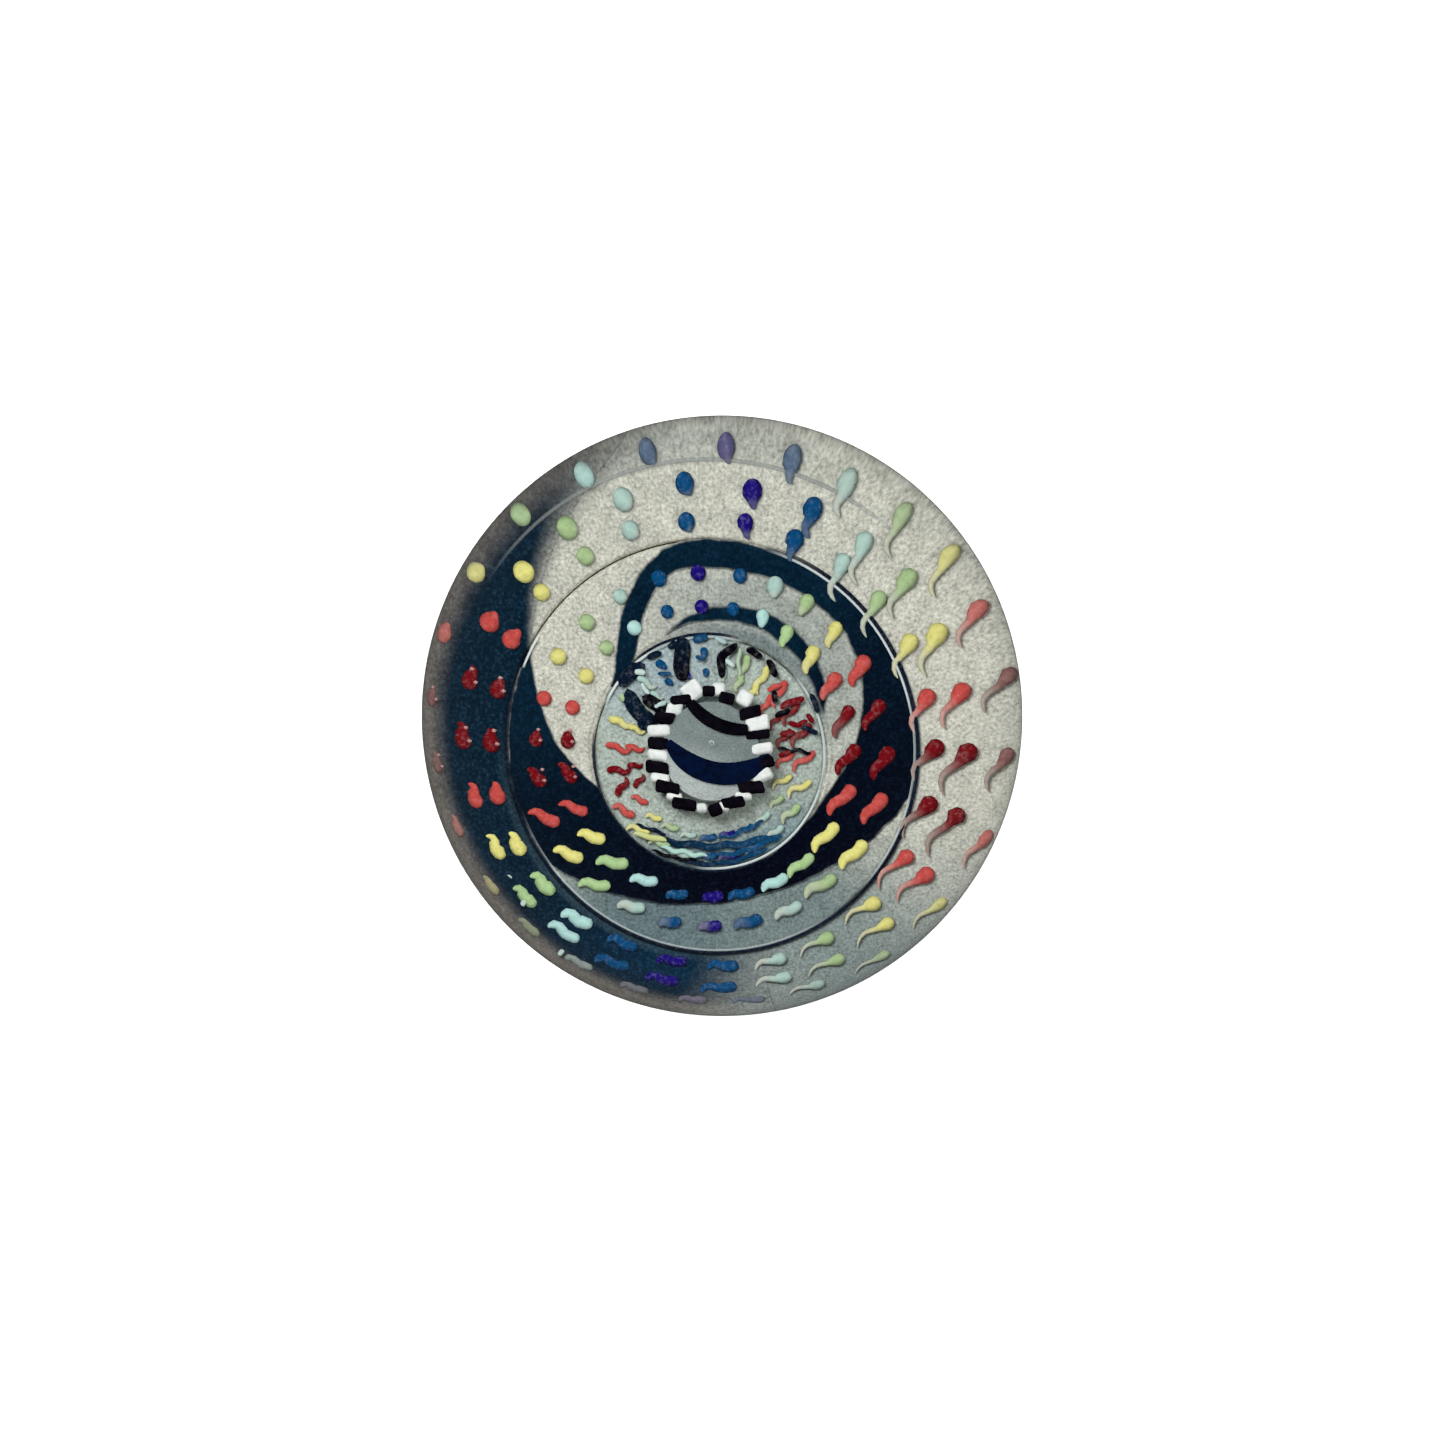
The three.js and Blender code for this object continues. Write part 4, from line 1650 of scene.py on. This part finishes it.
# ---- chequered border and eye ----------------------------------------------------------------
@dataclass(frozen=True)
class Block:
    """One block of the border: its middle, its length, its width and its turn."""

    x: float
    y: float
    length: float
    width: float
    turn: float = 0.0

    def add_to(self, mesh: bmesh.types.BMesh, z: float, height: float, skew: float) -> None:
        """Adds the block to a mesh.

        Args:
            mesh: where it goes.
            z: the height of its underside.
            height: how tall it is.
            skew: how far its far side is pushed along.
        """
        turn = Matrix.Rotation(math.radians(self.turn), 3, "Z")
        for vert in bmesh.ops.create_cube(mesh, size=1.0)["verts"]:
            x, y, up = vert.co
            corner = turn @ Vector((x * self.length + y * skew, y * self.width, 0.0))
            vert.co = Vector((self.x, self.y, z + height * (up + 0.5))) + corner


BLACK_BLOCKS = (
    Block(3.65, 1.35, 1.9, 0.65, 8),
    Block(3.05, 3.0, 1.7, 0.9, 15),
    Block(1.25, 4.1, 1.2, 0.8, -12),
    Block(-0.15, 4.6, 1.0, 0.75),
    Block(-2.3, 3.9, 1.6, 0.7, 8),
    Block(-3.65, 2.5, 1.6, 0.85, -5),
    Block(-4.1, 0.55, 1.6, 0.85, -3),
    Block(-4.2, -1.3, 1.8, 0.9, -8),
    Block(-3.4, -2.85, 1.9, 0.9, -12),
    Block(-2.1, -4.1, 1.9, 0.8, -8),
    Block(0.35, -4.5, 1.0, 0.9, 20),
    Block(1.75, -3.9, 1.8, 0.8, 10),
    Block(3.15, -2.7, 2.0, 0.9, 5),
    Block(4.0, -0.8, 1.9, 0.8, 14),
)
WHITE_BLOCKS = (
    Block(3.95, 0.3, 1.8, 0.9, 10),
    Block(3.6, 2.2, 1.95, 1.3, 12),
    Block(2.65, 4.1, 1.25, 1.2, -30),
    Block(0.65, 4.75, 1.05, 1.05),
    Block(-1.4, 4.6, 1.6, 1.45, 35),
    Block(-2.8, 3.2, 1.25, 1.0),
    Block(-4.0, 1.55, 1.8, 0.95, 4),
    Block(-4.1, -0.35, 1.6, 0.9, -6),
    Block(-3.95, -2.1, 1.5, 0.85, -8),
    Block(-2.85, -3.5, 1.3, 0.8, -14),
    Block(-0.75, -4.35, 1.0, 0.75, 4),
    Block(1.05, -4.2, 0.8, 0.75, -5),
    Block(2.55, -3.35, 1.3, 0.75, 10),
    Block(3.95, -1.75, 1.8, 0.95, 24),
)


@dataclass
class CheckedBorder:
    """The black and white blocks round the eye, which lie near level with the motif's x axis."""

    height: float = 0.7
    sunk_share: float = 0.2
    black_lift: float = 0.12
    black_corner: float = 0.2
    white_corner: float = 0.3
    skew: float = 0.25
    black: Finish = PlainGlass("black_glass", linear(5, 2, 10), linear(18, 14, 24), 0.25)
    white: Finish = PlainGlass("white_glass", linear(250, 252, 248), linear(222, 230, 226), 0.25)

    def build(self) -> None:
        """Makes the black blocks as one piece and the white ones as another."""
        base = EYE_Z - self.sunk_share * self.height
        black, white = self.black.material(), self.white.material()
        self._blocks("black", BLACK_BLOCKS, base + self.black_lift, self.black_corner, black)
        self._blocks("white", WHITE_BLOCKS, base, self.white_corner, white)

    def _blocks(
        self, shade: str, blocks: Sequence[Block], z: float, corner: float, finish: bpy.types.Material
    ) -> None:
        """The blocks of one shade.

        Args:
            shade: black or white.
            blocks: their places and sizes.
            z: the height of their undersides.
            corner: how round their corners are.
            finish: their material.
        """
        mesh = bmesh.new()
        luck = random.Random(len(blocks) + len(shade))
        for block in blocks:
            block.add_to(mesh, z, self.height, luck.uniform(-self.skew, self.skew))
        bmesh.ops.bevel(
            mesh, geom=mesh.edges[:], offset=corner, segments=3, profile=0.5, affect="EDGES", material=-1
        )
        nodes = [f"check_{shade}_{i + 1:02d}" for i in range(len(blocks))]
        Piece(f"{shade}_checks", mesh, nodes, f"{shade}_glass", 60.0).finished(finish)


@dataclass(frozen=True)
class EyeBand:
    """A curved band on the eye.

    centre and radius give its curve, span the angles where it starts and ends, width its width
    half way along, and pointed how pointed its ends are, from 0 to 1.
    """

    which: str
    centre: Point
    radius: float
    span: Stretch
    width: float
    pointed: float
    slot: str
    glass: Finish


@dataclass
class Eye:
    """The grey eye with its two dark bands and the bubble in its middle."""

    radius: float = EYE_RADIUS
    dome: float = 0.8
    skirt: float = 0.4
    disc_steps: int = 10
    disc_turn_steps: int = 64
    band_lift: float = 0.2
    band_crown: float = 0.12
    band_cells: tuple[int, int] = (28, 6)
    bubble: Point = (0.0, 0.45)
    bubble_radius: float = 0.28
    black: Finish = PlainGlass("eye_black", linear(4, 2, 8), linear(12, 10, 20), 0.2)
    navy: Finish = PlainGlass("eye_navy", linear(4, 20, 52), linear(2, 8, 28), 0.2, 2.0)

    def build(self) -> None:
        """Makes the disc, the bands and the bubble."""
        self._disc()
        span = Stretch(214, 277)
        self._band(EyeBand("upper", (2.3, 6.35), 4.7, span, 1.0, 0.25, "black_glass", self.black))
        span = Stretch(211, 316)
        self._band(EyeBand("lower", (1.0, 3.3), 5.1, span, 1.65, 0.7, "navy_glass", self.navy))
        self._bubble()

    def height(self, x: float, y: float) -> float:
        """Height of the eye's face at a point."""
        return EYE_Z + self.dome * (1.0 - 0.5 * ((x * x + y * y) / self.radius**2))

    def _disc(self) -> None:
        """The domed grey disc."""
        steps = self.disc_steps
        spots = [self.radius * (1 - i / steps) for i in range(steps + 1)]
        foot = EYE_Z - self.skirt
        profile = [(0.0, foot), (self.radius, foot), *((r, self.height(r, 0.0)) for r in spots)]
        disc = Piece("eye_disc_glass", turned(profile, self.disc_turn_steps), ["eye_disc"], "eye_glass")
        disc.finished(EyeGrey().material())

    def _band(self, band: EyeBand) -> None:
        """One curved band that lies on the eye.

        Args:
            band: its shape, its slot and its glass.
        """

        def place(along: float, across: float) -> Vector:
            """Where a point of the band goes.

            Args:
                along: its share of the way along the band.
                across: its share of the way across.

            Returns:
                The point.
            """
            half = band.width / 2 * (1.0 - band.pointed * (1.0 - hump(along, 0.0, 1.0)) ** 1.5)
            way = polar(band.span.at(along), band.radius + (across * 2 - 1) * half)
            spot = Vector((*band.centre, 0.0)) + way
            crown = self.band_crown * hump(across, 0.0, 1.0)
            spot.z = self.height(spot.x, spot.y) + self.band_lift + crown
            return spot

        node = f"eye_band_{band.which}"
        mesh = bent_plate(place, *self.band_cells)
        Piece(f"{node}_glass", mesh, [node], band.slot).finished(band.glass.material())

    def _bubble(self) -> None:
        """The small air bubble."""
        mesh = bmesh.new()
        spot = Matrix.Translation((*self.bubble, self.height(*self.bubble) + self.bubble_radius))
        bmesh.ops.create_uvsphere(mesh, u_segments=24, v_segments=16, radius=self.bubble_radius, matrix=spot)
        air = ClearGlass("air_bubble", 1 / ClearGlass.ior)
        Piece("centre_bubble_air", mesh, ["centre_bubble"], "bubble").finished(air.material())


# ---- studio ----------------------------------------------------------------------------------
@dataclass(frozen=True)
class Lamp:
    """A large soft lamp, with its place and its side in metres and its power in watts."""

    name: str
    place: tuple[float, float, float]
    size: float
    power: float

    def hang(self) -> None:
        """Points the lamp at the ball, which doesn't mirror it."""
        data = bpy.data.lights.new(self.name, "AREA")
        data.size = self.size
        data.energy = self.power
        lamp = bpy.data.objects.new(self.name, data)
        lamp.location = self.place
        lamp.rotation_mode = "QUATERNION"
        lamp.rotation_quaternion = Vector(self.place).to_track_quat("Z", "Y")
        lamp.visible_glossy = False
        lamp.visible_transmission = False
        lamp.visible_camera = False
        bpy.context.collection.objects.link(lamp)


@dataclass
class Studio:
    """The floor, the lights and the camera."""

    elevation: float = 76.0
    turned_by: float = 17.0
    distance: float = 420.0
    lens: float = 82.4
    shift: Point = (0.0003, -0.0047)
    floor_half: float = 3.0
    floor_colour: Rgb = (0.93, 0.93, 0.925)
    light: Rgb = (0.985, 0.99, 1.0)
    seen: Stretch = Stretch(0.66, 1.15)
    seen_rise: Stretch = Stretch(-0.05, 0.6)
    mirrored: Stretch = Stretch(0.05, 0.03)
    mirrored_rise: Stretch = Stretch(-0.2, 0.9)
    lamps: tuple[Lamp, ...] = (
        Lamp("key_lamp", (-0.5, 0.35, 0.75), 0.7, 12.0),
        Lamp("fill_lamp", (0.6, -0.4, 0.7), 0.8, 6.0),
        Lamp("floor_lamp", (0.0, 0.0, -0.5), 1.2, 14.0),
    )

    def build(self) -> None:
        """Sets up the studio round the ball."""
        self._camera()
        self._floor()
        self._world()
        for lamp in self.lamps:
            lamp.hang()
        scene = bpy.context.scene
        scene.view_settings.view_transform = "Standard"
        scene.cycles.caustics_refractive = False
        scene.cycles.caustics_reflective = False

    def _camera(self) -> None:
        """Looks steeply down on the ball with the motif's +Y up."""
        tilt, turn = math.radians(self.elevation), math.radians(self.turned_by)
        back = Vector((-math.sin(turn) * math.cos(tilt), -math.cos(turn) * math.cos(tilt), math.sin(tilt)))
        right = Vector((0, 1, 0)).cross(back).normalized()
        data = bpy.data.cameras.new("camera")
        data.lens = self.lens
        data.sensor_width = 36.0
        data.shift_x, data.shift_y = self.shift
        data.clip_start, data.clip_end = 0.01, 20.0
        camera = bpy.data.objects.new("camera", data)
        spot = (Vector((0, 0, BALL_CENTRE_Z)) + back * self.distance) * MM
        axes = Matrix((right, back.cross(right), back)).transposed().to_4x4()
        camera.matrix_world = Matrix.Translation(spot) @ axes
        bpy.context.collection.objects.link(camera)
        bpy.context.scene.camera = camera

    def _floor(self) -> None:
        """A wide pale floor, which lets the lamp below light the ball from underneath."""
        mesh = bmesh.new()
        bmesh.ops.create_grid(mesh, x_segments=2, y_segments=2, size=self.floor_half)
        data = bpy.data.meshes.new("floor")
        mesh.to_mesh(data)
        mesh.free()
        graph = Graph(bpy.data.materials.new("pale_floor"))
        data.materials.append(graph.out(graph.surface(Base_Color=self.floor_colour, Roughness=0.7)))
        floor = bpy.data.objects.new("floor", data)
        bpy.context.collection.objects.link(floor)
        floor.visible_glossy = False
        floor.visible_shadow = False

    def _world(self) -> None:
        """Soft light from all round, brighter from above, which the ball hardly mirrors."""
        world = bpy.data.worlds.new("studio")
        bpy.context.scene.world = world
        graph = Graph(world)
        ray = graph.node("ShaderNodeLightPath").outputs
        glossy, refracted = (Value(graph, ray[f"Is {kind} Ray"]) for kind in ("Glossy", "Transmission"))
        only_mirrored = (glossy - refracted).at_least(0.0)
        way = graph.node("ShaderNodeTexCoord").outputs["Generated"]
        up = graph.value("ShaderNodeSeparateXYZ", inputs={0: way}, output=2)
        seen = self.seen.at(self.seen_rise.rise(up))
        mirrored = self.mirrored.at(self.mirrored_rise.rise(up))
        brightness = seen + only_mirrored * (mirrored - seen)
        graph.out(graph.node("ShaderNodeBackground", inputs={"Color": self.light, "Strength": brightness}))


def main() -> None:
    """Builds the paperweight from its core outwards, then the studio."""
    logging.basicConfig(level=logging.INFO, format="%(name)s %(message)s")
    finishes = Ground().build()
    Swirls(finishes).build()
    InnerStrokes().build()
    PaintedGlints().build()
    Threads().build()
    Dots().build()
    CheckedBorder().build()
    Eye().build()
    ClearBall().build()
    Studio().build()


if __name__ == "__main__":
    main()
